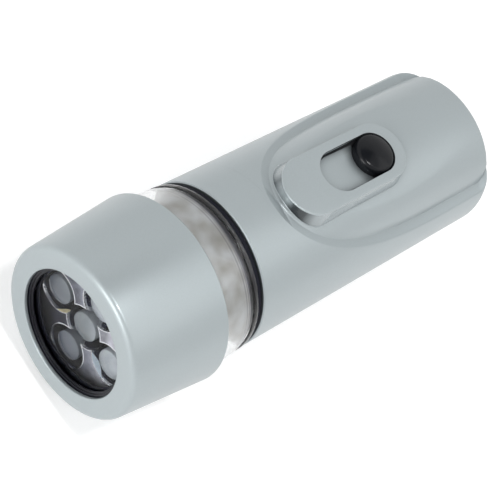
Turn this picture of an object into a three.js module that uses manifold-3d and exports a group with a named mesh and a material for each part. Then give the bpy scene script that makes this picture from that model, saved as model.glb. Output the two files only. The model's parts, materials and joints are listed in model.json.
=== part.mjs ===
// A hand torch with five light emitting diodes, built piece by piece. Millimetres.
// The torch lies along X: its window faces -X, its tail +X, and the thumb switch is on top, towards +Z.
// Sizes below are measured along X from the front face, and as radii from the torch's axis.
// The whole is then moved so that X and Y are centred and the head's rim touches Z = 0.
import * as THREE from "three";
import { mergeVertices } from "three/addons/utils/BufferGeometryUtils.js";
import Module from "manifold-3d";

const wasm = await Module();
wasm.setup();

// The two sizes that all the others hang on
const torchLength = 118.5;
const handleRadius = 20;

// Fits shared by every piece
const seatGap = 0.2;
const slideGap = 0.3;
const contactGap = 0.1;
const overrun = 1;

// Roundness: how many sides a turned piece has, and how many steps an arc
const roundSides = 44;
const innerSides = 32;
const smallSides = 12;
const ledSides = 12;
const cellSides = 20;
const carrierSides = 24;
const arcSteps = 3;
const edgeSteps = 2;

// Handle
const handleFrontShare = 0.3173;
const handleBoreShare = 0.83;
const handleBevelLength = 0.7;
const handleBevelDepth = 0.8;
const tailWall = 3.5;
const tailRounding = 3.5;
const tailSteps = 4;
const counterDepth = 1.8;

// Saddle: the raised thumb panel on top of the handle, with a narrow ledge round it
const saddleStartShare = 0.4093;
const saddleMiddleShare = 0.8439;
const saddleTopShare = 0.7004;
const saddleHalfAngle = 65;
const saddleRise = 1.4;
const ledgeWidth = 1.9;
const ledgeDrop = 1.7;
const saddleTailRise = 0.35;
const saddleTailRounding = 4;
const saddleSteps = 12;
const saddleArcSteps = 14;
const underSteps = 36;

// Boss: the flat topped pill on the saddle, and the slot in it
const bossFrontShare = 0.49873;
const bossRearShare = 0.68945;
const bossRadiusShare = 0.365;
const bossDraft = 1.2;
const bossRoot = 4.4;
const bossEdge = 0.3;
const bossSkin = 1;
const bossWall = 1.2;
const slotFrontShare = 0.57806;
const slotRearShare = 0.68017;
const slotRadiusShare = 0.6986;
const slotMargin = 0.35;
const slotSpare = 2.1;
const pillSteps = 9;

// Thumb switch: knob, plate and slider, and the wiper under them
const knobRimHeight = 0.25;
const knobDome = 0.9;
const knobEdge = 1.1;
const knobEdgeShare = 0.3;
const knobShoulderShare = 0.5;
const knobRiseShare = 0.75;
const plateHornShare = 0.6;
const sliderThickness = 1.2;
const sliderTailDrop = 0.5;
const sliderOverlap = 0.5;
const sliderDepth = 2.65;
const plateFrontDepth = 1.3;
const plateRearDepth = 2.3;
const wiperLength = 12;
const wiperHalfWidth = 2.5;
const wiperSheet = 0.4;
const wiperLift = 0.15;

// Switch board with its two contacts, and the strips along the inside of the handle
const boardRise = 0.65;
const boardThickness = 0.5;
const boardInset = 0.5;
const boardRearShare = 0.75696;
const contactSheet = 0.3;
const contactHalfWidth = 2;
const contactFrontLength = 6;
const contactSpace = 1.4;
const stripRise = 0.9;
const stripSheet = 0.3;

// Head
const headLengthShare = 0.2093;
const headFrontShare = 0.995;
const headRearShare = 1.115;
const headBoreShare = 0.88;
const headBoreEndShare = 0.22;
const headFrontRounding = 1.6;
const headRearRounding = 0.5;
const ringSeatShare = 1.015;
const ringSeatLengthShare = 0.5;
const windowShare = 0.736;
const windowChamfer = 0.4;
const lipThickness = 0.9;

// Window ring, lens and seal, one behind the other
const bezelInset = 0.52;
const bezelStep = 0.45;
const bezelThickness = 0.8;
const lensThickness = 1;
const sealInset = 0.8;
const sealThickness = 0.6;

// Reflector with one cup in the middle and a ring of cups round it, which cut into it and meet it in ridges
const cupCount = 4;
const cupMouthShare = 0.3533;
const cupRingShare = 0.6522;
const cupDepthShare = 0.3468;
const cupThroatShare = 0.5385;
const cupWall = 0.7;
const cupSteps = 3;
const cupSides = 16;
const flangeThickness = 1;

// Light emitting diode
const ledRecess = 1.8;
const ledFlangeEdge = 0.4;
const ledFlange = 1;

// Lamp board, its small parts and the two leads behind it
const lampBoardThickness = 1.6;
const resistorLength = 3.2;
const resistorWidth = 1.6;
const resistorHeight = 0.6;
const resistorPlace = 7;
const leadRadius = 0.5;
const leadSteps = 9;
const leadSides = 6;
const leadPlace = 3.5;
const leadSwing = 6;

// Lamp carrier: the moulded tube that joins head and handle
const carrierFlange = 2;
const carrierRib = 0.9;
const carrierWall = 1.8;
const carrierRibs = 4;
const carrierRibShare = 0.45;
const carrierFloor = 1.6;
const spigotReach = 8.4;
const contactHole = 3;

// Screw thread between carrier and handle
const threadTurns = 1;
const threadMargin = 0.8;
const threadHeight = 0.9;
const threadRoot = 0.3;
const threadBase = 0.8;
const threadCrest = 0.35;
const threadSteps = 20;

// Clear ring between head and handle
const clearRingShare = 1.045;
const clearRingRearShare = 1.0125;
const clearGrooveShare = 0.9925;
const clearFlangeShare = 1.01;
const clearFlange = 1.4;
const clearGroove = 1.2;

// Rubber gasket between clear ring and handle, with a lip that reaches under the ring, and the contact ring
const gasketThickness = 1.3;
const gasketShare = 0.935;
const gasketEdge = 0.4;
const gasketLip = 0.8;
const contactRingThickness = 1.6;

// Contacts between lamp and battery pack
const plugReach = 0.5;
const plugHead = 0.5;
const plugHeadEdge = 1.5;
const contactReach = 6;
const wire = 0.8;
const springTurns = 2.5;
const springSides = 4;
const springSteps = 8;
const contactSpringRadius = 3.4;
const contactSpringTop = 2.2;

// Battery pack of three cells
const packDisc = 1.8;
const packPlate = 0.4;
const packSpringSpace = 3.1;
const cellCount = 3;
const cellRadiusShare = 0.4417;
const cellRingShare = 0.5276;
const cellNubShare = 0.38;
const cellNub = 1.3;
const cellEdge = 0.6;
const railShare = 0.1104;
const terminalRadius = 3;
const terminalHead = 0.4;
const terminalShank = 1.1;
const linkShare = 0.36;
const padRoot = 1.2;
const cellSpringShare = 0.64;
const cellSpringTop = 2.6;
const tailSpace = 3.6;
const tailContactSheet = 0.5;
const tailContactRadius = 9;
const tailSpringRadius = 6;
const tailSpringTop = 4;

// Places and sizes of the handle that follow from the ones above
const handleFront = torchLength * handleFrontShare;
const handleBore = handleRadius * handleBoreShare;
const boreEnd = torchLength - tailWall;
const saddleStart = torchLength * saddleStartShare;
const saddleMiddle = torchLength * saddleMiddleShare;
const saddleTopPlace = torchLength * saddleTopShare;
const saddleTip = saddleStart + ledgeWidth;
const saddleTop = handleRadius + saddleRise;
const saddleTailTop = handleRadius + saddleTailRise;
const saddleFootInset = THREE.MathUtils.radToDeg(ledgeWidth / handleRadius);

// The switch, from the board upwards
const boardTop = handleBore + boardRise;
const contactLow = boardTop + contactGap;
const wiperLow = contactLow + contactSheet + wiperLift;
const wiperTop = wiperLow + wiperSheet;
const sliderUnder = wiperTop + contactGap;
const sliderTop = sliderUnder + sliderThickness;
const sliderTailTop = sliderTop - sliderTailDrop;
const bossTop = sliderTop + sliderDepth;
const knobLow = sliderTop + contactGap;
const knobRim = bossTop + knobRimHeight;
const bossRadius = handleRadius * bossRadiusShare;
const bossFrontCentre = torchLength * bossFrontShare;
const bossRearCentre = torchLength * bossRearShare;
const slotRadius = bossRadius * slotRadiusShare;
const slotFrontCentre = torchLength * slotFrontShare;
const slotRearCentre = torchLength * slotRearShare;
const switchTravel = slotRearCentre - slotFrontCentre - slotSpare;
const knobRadius = slotRadius - slotMargin;
const trackRadius = bossRadius - bossWall;
const trackFront = bossFrontCentre - trackRadius;
const trackFloor = boardTop + seatGap;
const trackTop = bossTop - bossSkin;
const sliderRadius = trackRadius - slideGap;
const sliderFront = trackFront + slideGap + switchTravel;
const sliderStepCentre = bossRearCentre - slideGap;
const sliderRear = slotRearCentre + slotRadius + switchTravel + sliderOverlap;
const boardFront = sliderFront;
const boardRear = torchLength * boardRearShare;
const boardHalfWidth = bossRadius - boardInset;
const contactFrontRear = slotRearCentre - wiperLength / 2 - switchTravel + contactFrontLength;
const contactRearFront = contactFrontRear + contactSpace;
const contactRearEnd = boardRear - seatGap;
const stripLow = handleBore + stripRise;
const stripTop = stripLow + stripSheet;
const counterRadius = stripLow + seatGap;

// The head, from its front face backwards
const headLength = torchLength * headLengthShare;
const headFrontRadius = handleRadius * headFrontShare;
const headRearRadius = handleRadius * headRearShare;
const headBore = handleRadius * headBoreShare;
const windowRadius = handleRadius * windowShare;
const axisHeight = headRearRadius * Math.cos(Math.PI / roundSides);
const opticsRadius = headBore - seatGap;
const bezelFront = lipThickness + seatGap;
const bezelRadius = windowRadius - bezelInset;
const lensFront = bezelFront + bezelThickness + seatGap;
const sealFront = lensFront + lensThickness + seatGap;
const sealInner = bezelRadius - sealInset;
const reflectorFront = sealFront + sealThickness + seatGap;
const cupMouth = windowRadius * cupMouthShare;
const cupThroat = cupMouth * cupThroatShare;
const cupRing = windowRadius * cupRingShare;
const cupDepth = headLength * cupDepthShare;
const reflectorRear = reflectorFront + cupDepth + cupWall;
const ledRadius = cupThroat - slideGap;
const ledFlangeRadius = ledRadius + ledFlangeEdge;
const ledBase = reflectorRear + contactGap + ledFlange;
const ledTip = reflectorFront + ledRecess;
const lampBoardFront = ledBase + contactGap;
const lampBoardRear = lampBoardFront + lampBoardThickness;
const carrierFront = lampBoardRear + seatGap;
const flangeRear = carrierFront + carrierFlange;
const ringSeatRadius = handleRadius * ringSeatShare;
const ringSeatFront = headLength - (headLength - flangeRear) * ringSeatLengthShare;
const headBoreLength = flangeRear + (headLength - flangeRear) * headBoreEndShare;

// Between head and handle
const spigotRadius = handleBore - slideGap;
const spigotFront = handleFront - slideGap - gasketThickness;
const clearRingRear = spigotFront - seatGap;
const clearGrooveEnd = clearRingRear - clearFlange;
const clearRingEnd = clearGrooveEnd - clearGroove;
const gasketInner = spigotRadius + seatGap;
const gasketLipRadius = gasketInner + gasketLip;
const clearRingInner = gasketLipRadius + seatGap;
const clearRingRadius = handleRadius * clearRingShare;
const clearRingRearRadius = handleRadius * clearRingRearShare;
const clearGrooveRadius = handleRadius * clearGrooveShare;
const clearFlangeRadius = handleRadius * clearFlangeShare;
const gasketRadius = handleRadius * gasketShare;
const contactRingFront = spigotFront + gasketThickness + seatGap;
const contactRingOuter = stripLow - contactGap;
const carrierOuter = spigotRadius - carrierRib;
const carrierInner = carrierOuter - carrierWall;
const carrierRear = handleFront + spigotReach;
const ribPitch = (clearRingEnd - headLength) / carrierRibs;
const ribWidth = ribPitch * carrierRibShare;
const ribStart = headLength + (ribPitch - ribWidth) / 2;
const threadStart = handleFront + counterDepth + threadBase + threadMargin;
const threadPitch = (carrierRear - seatGap - threadBase - threadStart) / threadTurns;
const plugRadius = contactHole - slideGap;
const plugHeadRadius = contactHole + plugHeadEdge;
const plugFront = carrierRear - carrierFloor - plugReach;
const plugRear = carrierRear + contactGap + plugHead;

// The pack, from both ends towards its cells
const packRadius = handleBore - slideGap;
const packFront = carrierRear + contactReach;
const terminalFront = packFront - contactGap - terminalHead;
const packFloor = packFront + packDisc;
const frontPlate = packFloor + contactGap;
const cellFront = frontPlate + packPlate + contactGap;
const tailContactPlace = boreEnd - contactGap - tailContactSheet;
const terminalRear = tailContactPlace - tailSpace;
const packEnd = terminalRear - terminalHead - contactGap;
const packRearDisc = packEnd - packDisc;
const rearPlate = packRearDisc - contactGap - packPlate;
const cellRear = rearPlate - packSpringSpace;
const cellMirror = (frontPlate + packPlate + rearPlate) / 2;
const cellRadius = packRadius * cellRadiusShare;
const cellRing = packRadius * cellRingShare;
const cellNubRadius = cellRadius * cellNubShare;
const cellSpringRadius = cellRadius * cellSpringShare;
const linkHalfWidth = cellRadius * linkShare;
const railRadius = packRadius * railShare;
const railPlace = packRadius - railRadius - slideGap;

// Colours, with roughness and metalness
const finishes = {
  silver: [0xb0bbbe, 0.38, 0.55],
  blackGloss: [0x14151a, 0.18, 0],
  blackPlastic: [0x232529, 0.4, 0],
  redPlastic: [0xa82a24, 0.45, 0],
  rubber: [0x191a1c, 0.75, 0],
  clear: [0xe8f1f4, 0.05, 0],
  chrome: [0xd9dde0, 0.08, 1],
  led: [0xeef0e6, 0.1, 0],
  ivory: [0xcfcbb8, 0.5, 0],
  board: [0xe4e6e2, 0.55, 0],
  brass: [0xc9a85a, 0.3, 1],
  steel: [0xb9bcbf, 0.3, 1],
  cell: [0x3f474d, 0.35, 0.2],
};
const clearOpacity = 0.4;

// Helpers
const torch = new THREE.Group();
torch.name = "torch";
const pieces = new THREE.Group();
pieces.name = "pieces";
pieces.position.set(-torchLength / 2, 0, axisHeight);
torch.add(pieces);

function material(finish) {
  const [color, roughness, metalness] = finishes[finish];
  const look = new THREE.MeshStandardMaterial({ color, roughness, metalness });
  look.transparent = finish === "clear";
  look.opacity = look.transparent ? clearOpacity : 1;
  return look;
}

// Adds a finished geometry to the torch under its name
function add(name, geometry, finish) {
  const mesh = new THREE.Mesh(geometry, material(finish));
  mesh.name = name;
  mesh.geometry.computeVertexNormals();
  pieces.add(mesh);
}

// Positions only, with equal corners joined and faces without area left out
function bare(geometry) {
  const copy = geometry.clone();
  for (const key of Object.keys(copy.attributes)) {
    if (key !== "position") copy.deleteAttribute(key);
  }
  const merged = mergeVertices(copy);
  const index = merged.index.array;
  const kept = [];
  for (let i = 0; i < index.length; i += 3) {
    const [a, b, c] = index.slice(i, i + 3);
    if (a !== b && b !== c && c !== a) kept.push(a, b, c);
  }
  merged.setIndex(kept);
  return merged;
}

// Turns every face over where a skin's volume comes out negative
function facingOut(geometry) {
  const { array } = geometry.attributes.position;
  const index = geometry.index.array;
  const corner = (i) => new THREE.Vector3().fromArray(array, index[i] * 3);
  let volume = 0;
  for (let i = 0; i < index.length; i += 3) {
    volume += corner(i).dot(corner(i + 1).cross(corner(i + 2)));
  }
  if (volume < 0) {
    for (let i = 0; i < index.length; i += 3) {
      [index[i], index[i + 1]] = [index[i + 1], index[i]];
    }
  }
  return geometry;
}

function solid(geometry) {
  const merged = facingOut(bare(geometry));
  return new wasm.Manifold(
    new wasm.Mesh({
      numProp: 3,
      vertProperties: new Float32Array(merged.attributes.position.array),
      triVerts: new Uint32Array(merged.index.array),
    }),
  );
}

function geometryOf(body) {
  const mesh = body.getMesh();
  const geometry = new THREE.BufferGeometry();
  const position = new Float32Array(mesh.vertProperties);
  geometry.setAttribute("position", new THREE.BufferAttribute(position, 3));
  geometry.setIndex(new THREE.BufferAttribute(new Uint32Array(mesh.triVerts), 1));
  return geometry;
}

// Joins all the geometries in a list into one body, then cuts away those in a second list
function joined(parts, cuts = []) {
  let body = solid(parts[0]);
  for (const part of parts.slice(1)) body = body.add(solid(part));
  for (const cut of cuts) body = body.subtract(solid(cut));
  return geometryOf(body);
}

// Turns an outline of [x, radius] pairs about the X axis, with a flat and not a corner at the bottom
function turned(outline, sides = roundSides) {
  const points = outline.map(([x, radius]) => new THREE.Vector2(radius, x));
  const lathe = new THREE.LatheGeometry(points, sides, Math.PI / sides);
  return facingOut(bare(lathe.rotateZ(-Math.PI / 2)));
}

// Turns an outline of [radius, z] pairs about an upright line through a place on the X axis
function turnedUp(outline, x) {
  const points = outline.map(([radius, z]) => new THREE.Vector2(radius, z));
  const lathe = new THREE.LatheGeometry(points, innerSides);
  return facingOut(bare(lathe.rotateX(Math.PI / 2).translate(x, 0, 0)));
}

// Closes an outline on itself, for a turned piece with a hole through it
function closed(outline) {
  return [...outline, outline[0]];
}

// Points of an arc in an outline of [x, radius] pairs, angles in degrees from +X towards +radius
function arc(x, radius, size, from, to, steps = arcSteps) {
  const points = [];
  for (let i = 0; i <= steps; i += 1) {
    const angle = THREE.MathUtils.degToRad(from + ((to - from) * i) / steps);
    points.push([x + size * Math.cos(angle), radius + size * Math.sin(angle)]);
  }
  return points;
}

// A plain turned drum along X between two places
function drum(from, to, radius, sides = innerSides) {
  return turned([[from, 0], [from, radius], [to, radius], [to, 0]], sides);
}

// A plain turned tube along X between two places
function tube(from, to, inner, outer, sides = innerSides) {
  return turned(closed([[from, inner], [from, outer], [to, outer], [to, inner]]), sides);
}

// Joins rings of [x, y, z] points, all with the same count, into one closed skin
function loft(rings) {
  const count = rings[0].length;
  const last = rings.length - 1;
  const index = [];
  for (let r = 0; r < last; r += 1) {
    for (let i = 0; i < count; i += 1) {
      const a = r * count + i;
      const b = r * count + ((i + 1) % count);
      index.push(a, b, b + count, a, b + count, a + count);
    }
  }
  index.push(...endFaces(rings[0], 0).reverse());
  index.push(...endFaces(rings[last], last * count));
  const geometry = new THREE.BufferGeometry();
  const position = new Float32Array(rings.flat(2));
  geometry.setAttribute("position", new THREE.BufferAttribute(position, 3));
  geometry.setIndex(index);
  return facingOut(geometry);
}

// Triangles that fill one ring, each in the ring's own direction
function endFaces(ring, base) {
  const flat = flattened(ring);
  const forward = THREE.ShapeUtils.area(flat) > 0;
  const index = [];
  for (const [a, b, c] of THREE.ShapeUtils.triangulateShape(flat, [])) {
    const same = THREE.ShapeUtils.area([flat[a], flat[b], flat[c]]) > 0 === forward;
    index.push(base + a, base + (same ? b : c), base + (same ? c : b));
  }
  return index;
}

// A ring seen along the axis in which it is flattest
function flattened(ring) {
  const box = new THREE.Box3().setFromPoints(ring.map((point) => new THREE.Vector3(...point)));
  const size = box.getSize(new THREE.Vector3()).toArray();
  const left = size.indexOf(Math.min(...size));
  const [p, q] = [0, 1, 2].filter((axis) => axis !== left);
  return ring.map((point) => new THREE.Vector2(point[p], point[q]));
}

// The outline of a pill that runs along X between two centres, in a plane of constant Z
function pill(front, rear, radius, z) {
  const points = [];
  for (const [centre, start] of [[front, Math.PI / 2], [rear, -Math.PI / 2]]) {
    for (let i = 0; i <= pillSteps; i += 1) {
      const angle = start + (Math.PI * i) / pillSteps;
      points.push([centre + radius * Math.cos(angle), radius * Math.sin(angle), z]);
    }
  }
  return points;
}

// An upright prism over a pill between two heights
function pillPrism(front, rear, radius, low, high) {
  return loft([pill(front, rear, radius, low), pill(front, rear, radius, high)]);
}

// A block between two corners
function block(low, high) {
  const size = high.map((value, i) => value - low[i]);
  const box = new THREE.BoxGeometry(...size);
  return bare(box.translate(...low.map((value, i) => value + size[i] / 2)));
}

// A spring along X between two places, wound from one radius to the other
function spring(from, to, radiusFrom, radiusTo) {
  const half = wire / 2;
  const steps = springTurns * springSteps;
  const rings = [];
  for (let i = 0; i <= steps; i += 1) {
    const share = i / steps;
    const angle = 2 * Math.PI * springTurns * share;
    const radius = radiusFrom + (radiusTo - radiusFrom) * share;
    const x = from + half + (to - from - wire) * share;
    const ring = [];
    for (let k = 0; k < springSides; k += 1) {
      const turn = (2 * Math.PI * k) / springSides;
      const out = radius + half * Math.cos(turn);
      ring.push([x + half * Math.sin(turn), out * Math.sin(angle), out * Math.cos(angle)]);
    }
    rings.push(ring);
  }
  return loft(rings);
}

// A right handed screw ridge along X, grown by a clearance on every side
function threadRidge(start, turns, clearance) {
  const steps = Math.round(turns * threadSteps);
  const low = spigotRadius - threadRoot;
  const high = spigotRadius + threadHeight + clearance;
  const base = threadBase + clearance;
  const crest = threadCrest + clearance;
  const section = [[-base, low], [-crest, high], [crest, high], [base, low]];
  const rings = [];
  for (let i = 0; i <= steps; i += 1) {
    const turn = (-2 * Math.PI * i) / threadSteps;
    const x = start + (threadPitch * i) / threadSteps;
    rings.push(section.map(([reach, out]) => [x + reach, out * Math.sin(turn), out * Math.cos(turn)]));
  }
  return loft(rings);
}

// A round lead along a smooth curve through the given points
function lead(points) {
  const path = new THREE.CatmullRomCurve3(points.map((point) => new THREE.Vector3(...point)));
  const frames = path.computeFrenetFrames(leadSteps);
  const rings = [];
  for (let i = 0; i <= leadSteps; i += 1) {
    const ring = [];
    for (let k = 0; k < leadSides; k += 1) {
      const turn = (2 * Math.PI * k) / leadSides;
      const point = path.getPointAt(i / leadSteps);
      point.addScaledVector(frames.normals[i], leadRadius * Math.cos(turn));
      point.addScaledVector(frames.binormals[i], leadRadius * Math.sin(turn));
      ring.push(point.toArray());
    }
    rings.push(ring);
  }
  return loft(rings);
}

// Places of a ring of equal pieces round the axis, as [y, z], the first one towards +Z
function around(count, radius) {
  const places = [];
  for (let i = 0; i < count; i += 1) {
    const angle = (2 * Math.PI * i) / count;
    places.push([-radius * Math.sin(angle), radius * Math.cos(angle)]);
  }
  return places;
}

// Handle: radius of its round body at a place along it, with the front bevel and the rounded tail
function bodyRadius(x) {
  if (x < handleFront + handleBevelLength) {
    return handleRadius - (handleBevelDepth * (handleFront + handleBevelLength - x)) / handleBevelLength;
  }
  return handleRadius - tailRounding + roundedEnd(x, tailRounding);
}

// Height left of a rounding that ends at the tail's end face
function roundedEnd(x, size) {
  const into = Math.min(size, Math.max(0, x - torchLength + size));
  return Math.sqrt(size * size - into * into);
}

// Half angle of a part of the saddle that starts at an elliptical tip, in radians
function saddleAngle(x, tip, widest) {
  const share = Math.min(1, Math.max(0, (saddleMiddle - x) / (saddleMiddle - tip)));
  return THREE.MathUtils.degToRad(widest) * Math.sqrt(1 - share * share);
}

// Height of the saddle's ridge: a long arc that meets the handle at the saddle's tip
function ridge(x) {
  const share = (x - saddleTopPlace) / (saddleTopPlace - saddleTip);
  return saddleTop - (saddleTop - handleRadius) * share * share;
}

// Places along the handle at which its outline is drawn, close together at the saddle's tip
function stations() {
  const places = [handleFront, handleFront + handleBevelLength];
  for (let i = 0; i <= saddleSteps; i += 1) {
    const angle = (Math.PI * i) / (2 * saddleSteps);
    places.push(saddleStart + (saddleMiddle - saddleStart) * (1 - Math.cos(angle)));
  }
  for (let i = 0; i <= tailSteps; i += 1) {
    const angle = (Math.PI * i) / (2 * tailSteps);
    places.push(torchLength - saddleTailRounding * (1 - Math.sin(angle)));
  }
  return places;
}

// Points of an arc over a middle, from one angle to another, both from +Z towards +Y
function crossArc(radius, from, to, steps, middle = 0) {
  const points = [];
  for (let i = 0; i <= steps; i += 1) {
    const angle = from + ((to - from) * i) / steps;
    points.push([radius * Math.sin(angle), middle + radius * Math.cos(angle)]);
  }
  return points;
}

// The saddle's line across the handle: an arc through its two feet and its ridge
function saddleLine(x, foot, low) {
  const half = low * Math.sin(foot);
  const base = low * Math.cos(foot);
  const rise = ridge(x) - base;
  if (half < overrun) return crossArc(low, -foot, foot, saddleArcSteps);
  const radius = (half * half + rise * rise) / (2 * rise);
  const middle = base + rise - radius;
  const spread = Math.atan2(half, base - middle);
  return crossArc(radius, -spread, spread, saddleArcSteps, middle);
}

// Keeps a point of the outline within a radius from the axis
function within([y, z], limit) {
  const radius = Math.hypot(y, z);
  const share = Math.min(1, limit / radius);
  return [y * share, z * share];
}

// The handle's outline at a place along it: round below, then ledge, saddle and ledge
function handleRing(x) {
  const outer = saddleAngle(x, saddleStart, saddleHalfAngle);
  const foot = saddleAngle(x, saddleTip, saddleHalfAngle - saddleFootInset);
  const full = outer / THREE.MathUtils.degToRad(saddleHalfAngle);
  const low = handleRadius - ledgeDrop * full * full;
  const radius = bodyRadius(x);
  const limit = saddleTailTop - saddleTailRounding + roundedEnd(x, saddleTailRounding);
  const over = saddleLine(x, foot, Math.min(low, radius)).map((point) => within(point, limit));
  const under = crossArc(radius, outer, 2 * Math.PI - outer, underSteps);
  const highest = x > saddleMiddle ? limit + overrun : radius + saddleTop;
  return [...over, ...under].map((point) => [x, ...within(point, highest)]);
}

function boss() {
  const edge = bossTop - bossEdge;
  return loft([
    pill(bossFrontCentre, bossRearCentre, bossRadius + bossDraft, bossTop - bossRoot),
    pill(bossFrontCentre, bossRearCentre, bossRadius, edge),
    pill(bossFrontCentre, bossRearCentre, bossRadius - bossEdge, bossTop),
  ]);
}

// The hollow for pack and carrier, with a wider mouth for the contact ring
function handleBoreSpace() {
  return turned([
    [handleFront - overrun, 0],
    [handleFront - overrun, counterRadius],
    [handleFront + counterDepth, counterRadius],
    [handleFront + counterDepth, handleBore],
    [boreEnd, handleBore],
    [boreEnd, 0],
  ], innerSides);
}

// The slot, and the two heights of the track in which the slider runs
function switchSpaces() {
  const tailCentre = sliderRear + slideGap - trackRadius;
  return [
    pillPrism(slotFrontCentre, slotRearCentre, slotRadius, sliderUnder, bossTop + overrun),
    pillPrism(bossFrontCentre, bossRearCentre, trackRadius, trackFloor, trackTop),
    pillPrism(bossFrontCentre, tailCentre, trackRadius, trackFloor, sliderTailTop + slideGap),
  ];
}

// The pocket of the switch board, and the groove of the two strips
function boardSpaces() {
  const across = boardHalfWidth + seatGap;
  const groove = contactHalfWidth + seatGap;
  const front = handleFront - overrun;
  return [
    block([boardFront - seatGap, -across, 0], [boardRear + seatGap, across, trackFloor]),
    block([front, -groove, 0], [boreEnd, groove, stripTop + slideGap]),
  ];
}

function threadSpace() {
  const start = threadStart - Math.ceil((threadStart - handleFront) / threadPitch) * threadPitch;
  const turns = (threadStart - start) / threadPitch + threadTurns;
  const past = 1 / threadSteps + slideGap / threadPitch;
  return threadRidge(start, turns + past, slideGap);
}

function handleShell() {
  const spaces = [handleBoreSpace(), ...switchSpaces(), ...boardSpaces(), threadSpace()];
  return joined([loft(stations().map(handleRing)), boss()], spaces);
}

// Switch
function switchSlider() {
  const front = sliderFront + sliderRadius;
  const rear = sliderRear - sliderRadius;
  return joined([
    pillPrism(front, sliderStepCentre, sliderRadius, sliderUnder, sliderTop),
    pillPrism(front, rear, sliderRadius, sliderUnder, sliderTailTop),
  ]);
}

// The knob: a straight side, a rounded edge and a low dome
function switchKnob() {
  const corner = knobEdge * knobEdgeShare;
  return turnedUp([
    [0, knobLow],
    [knobRadius, knobLow],
    [knobRadius, knobRim - knobEdge],
    [knobRadius - corner, knobRim - corner],
    [knobRadius - knobEdge, knobRim],
    [knobRadius * knobShoulderShare, knobRim + knobDome * knobRiseShare],
    [0, knobRim + knobDome],
  ], slotRearCentre);
}

// The plate in front of the knob, whose top slopes down towards the knob
function switchPlate() {
  const radius = knobRadius;
  const front = sliderFront + slotMargin;
  const low = sliderTop + contactGap;
  const slope = (plateRearDepth - plateFrontDepth) / (slotRearCentre - knobRadius - front);
  const base = pill(front + radius, slotRearCentre, radius, low);
  const top = base.map(([x, y]) => [x, y, bossTop - plateFrontDepth - slope * (x - front)]);
  const wide = knobRadius + contactGap;
  const round = [[0, low - overrun], [wide, low - overrun], [wide, bossTop], [0, bossTop]];
  const horn = slotRearCentre - knobRadius * plateHornShare;
  const behind = block([horn, -bossRadius, low - overrun], [sliderRear, bossRadius, bossTop]);
  return joined([loft([base, top])], [turnedUp(round, slotRearCentre), behind]);
}

function addSwitch() {
  const wiperFront = slotRearCentre - wiperLength / 2;
  add("switch_slider", switchSlider(), "blackPlastic");
  add("switch_plate", switchPlate(), "silver");
  add("switch_knob", switchKnob(), "blackGloss");
  const wiperCorner = [wiperFront, -wiperHalfWidth, wiperLow];
  const wiperFar = [wiperFront + wiperLength, wiperHalfWidth, wiperTop];
  add("switch_wiper", block(wiperCorner, wiperFar), "brass");
}

// A flat conductor between two places, on the middle line of the handle's top
function flatStrip(from, to, low, sheet) {
  return block([from, -contactHalfWidth, low], [to, contactHalfWidth, low + sheet]);
}

function addConductors() {
  const boardLow = [boardFront, -boardHalfWidth, boardTop - boardThickness];
  const board = block(boardLow, [boardRear, boardHalfWidth, boardTop]);
  add("switch_board", board, "blackPlastic");
  const front = contactFrontRear - contactFrontLength;
  add("switch_contact_front", flatStrip(front, contactFrontRear, contactLow, contactSheet), "brass");
  const rear = flatStrip(contactRearFront, contactRearEnd, contactLow, contactSheet);
  add("switch_contact_rear", rear, "brass");
  const stripFront = handleFront + seatGap;
  add("front_strip", flatStrip(stripFront, front - contactGap, stripLow, stripSheet), "brass");
  const stripStart = contactRearEnd + contactGap;
  add("rear_strip", flatStrip(stripStart, boreEnd - contactGap, stripLow, stripSheet), "brass");
}

// Head
function headShell() {
  const rearEdge = headLength - headRearRounding;
  const rearRadius = headRearRadius - headRearRounding;
  return turned(closed([
    [windowChamfer, windowRadius],
    [0, windowRadius + windowChamfer],
    ...arc(headFrontRounding, headFrontRadius - headFrontRounding, headFrontRounding, 180, 90),
    ...arc(rearEdge, rearRadius, headRearRounding, 90, 0, edgeSteps),
    [headLength, ringSeatRadius],
    [ringSeatFront, ringSeatRadius],
    [headBoreLength, headBore],
    [lipThickness, headBore],
    [lipThickness, windowRadius],
  ]));
}

function windowBezel() {
  const step = bezelFront + bezelThickness / 2;
  const rear = bezelFront + bezelThickness;
  return turned(closed([
    [bezelFront, opticsRadius],
    [bezelFront, bezelRadius],
    [step, bezelRadius],
    [step, bezelRadius - bezelStep],
    [rear, bezelRadius - bezelStep],
    [rear, opticsRadius],
  ]));
}

// Outline of one parabolic cup, from its mouth to its throat, grown by a wall
function cupOutline(wall) {
  const points = [];
  for (let i = 0; i <= cupSteps; i += 1) {
    const share = i / cupSteps;
    const square = cupMouth * cupMouth * (1 - share) + cupThroat * cupThroat * share;
    points.push([reflectorFront + cupDepth * share, Math.sqrt(square) + wall]);
  }
  return points;
}

function reflector() {
  const end = [[reflectorRear, cupThroat + cupWall], [reflectorRear, 0]];
  const outer = [[reflectorFront, 0], ...cupOutline(cupWall), ...end];
  const mouth = [[reflectorFront - overrun, 0], [reflectorFront - overrun, cupMouth]];
  const throat = [[reflectorRear + overrun, cupThroat], [reflectorRear + overrun, 0]];
  const inner = [...mouth, ...cupOutline(0), ...throat];
  const places = [[0, 0], ...around(cupCount, cupRing)];
  const at = (outline) => places.map(([y, z]) => turned(outline, cupSides).translate(0, y, z));
  const flange = drum(reflectorFront, reflectorFront + flangeThickness, opticsRadius);
  return joined([flange, ...at(outer)], at(inner));
}

function led() {
  return turned([
    [ledBase, 0],
    [ledBase, ledFlangeRadius],
    [ledBase - ledFlange, ledFlangeRadius],
    [ledBase - ledFlange, ledRadius],
    ...arc(ledTip + ledRadius, 0, ledRadius, 90, 180),
  ], ledSides);
}

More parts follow.
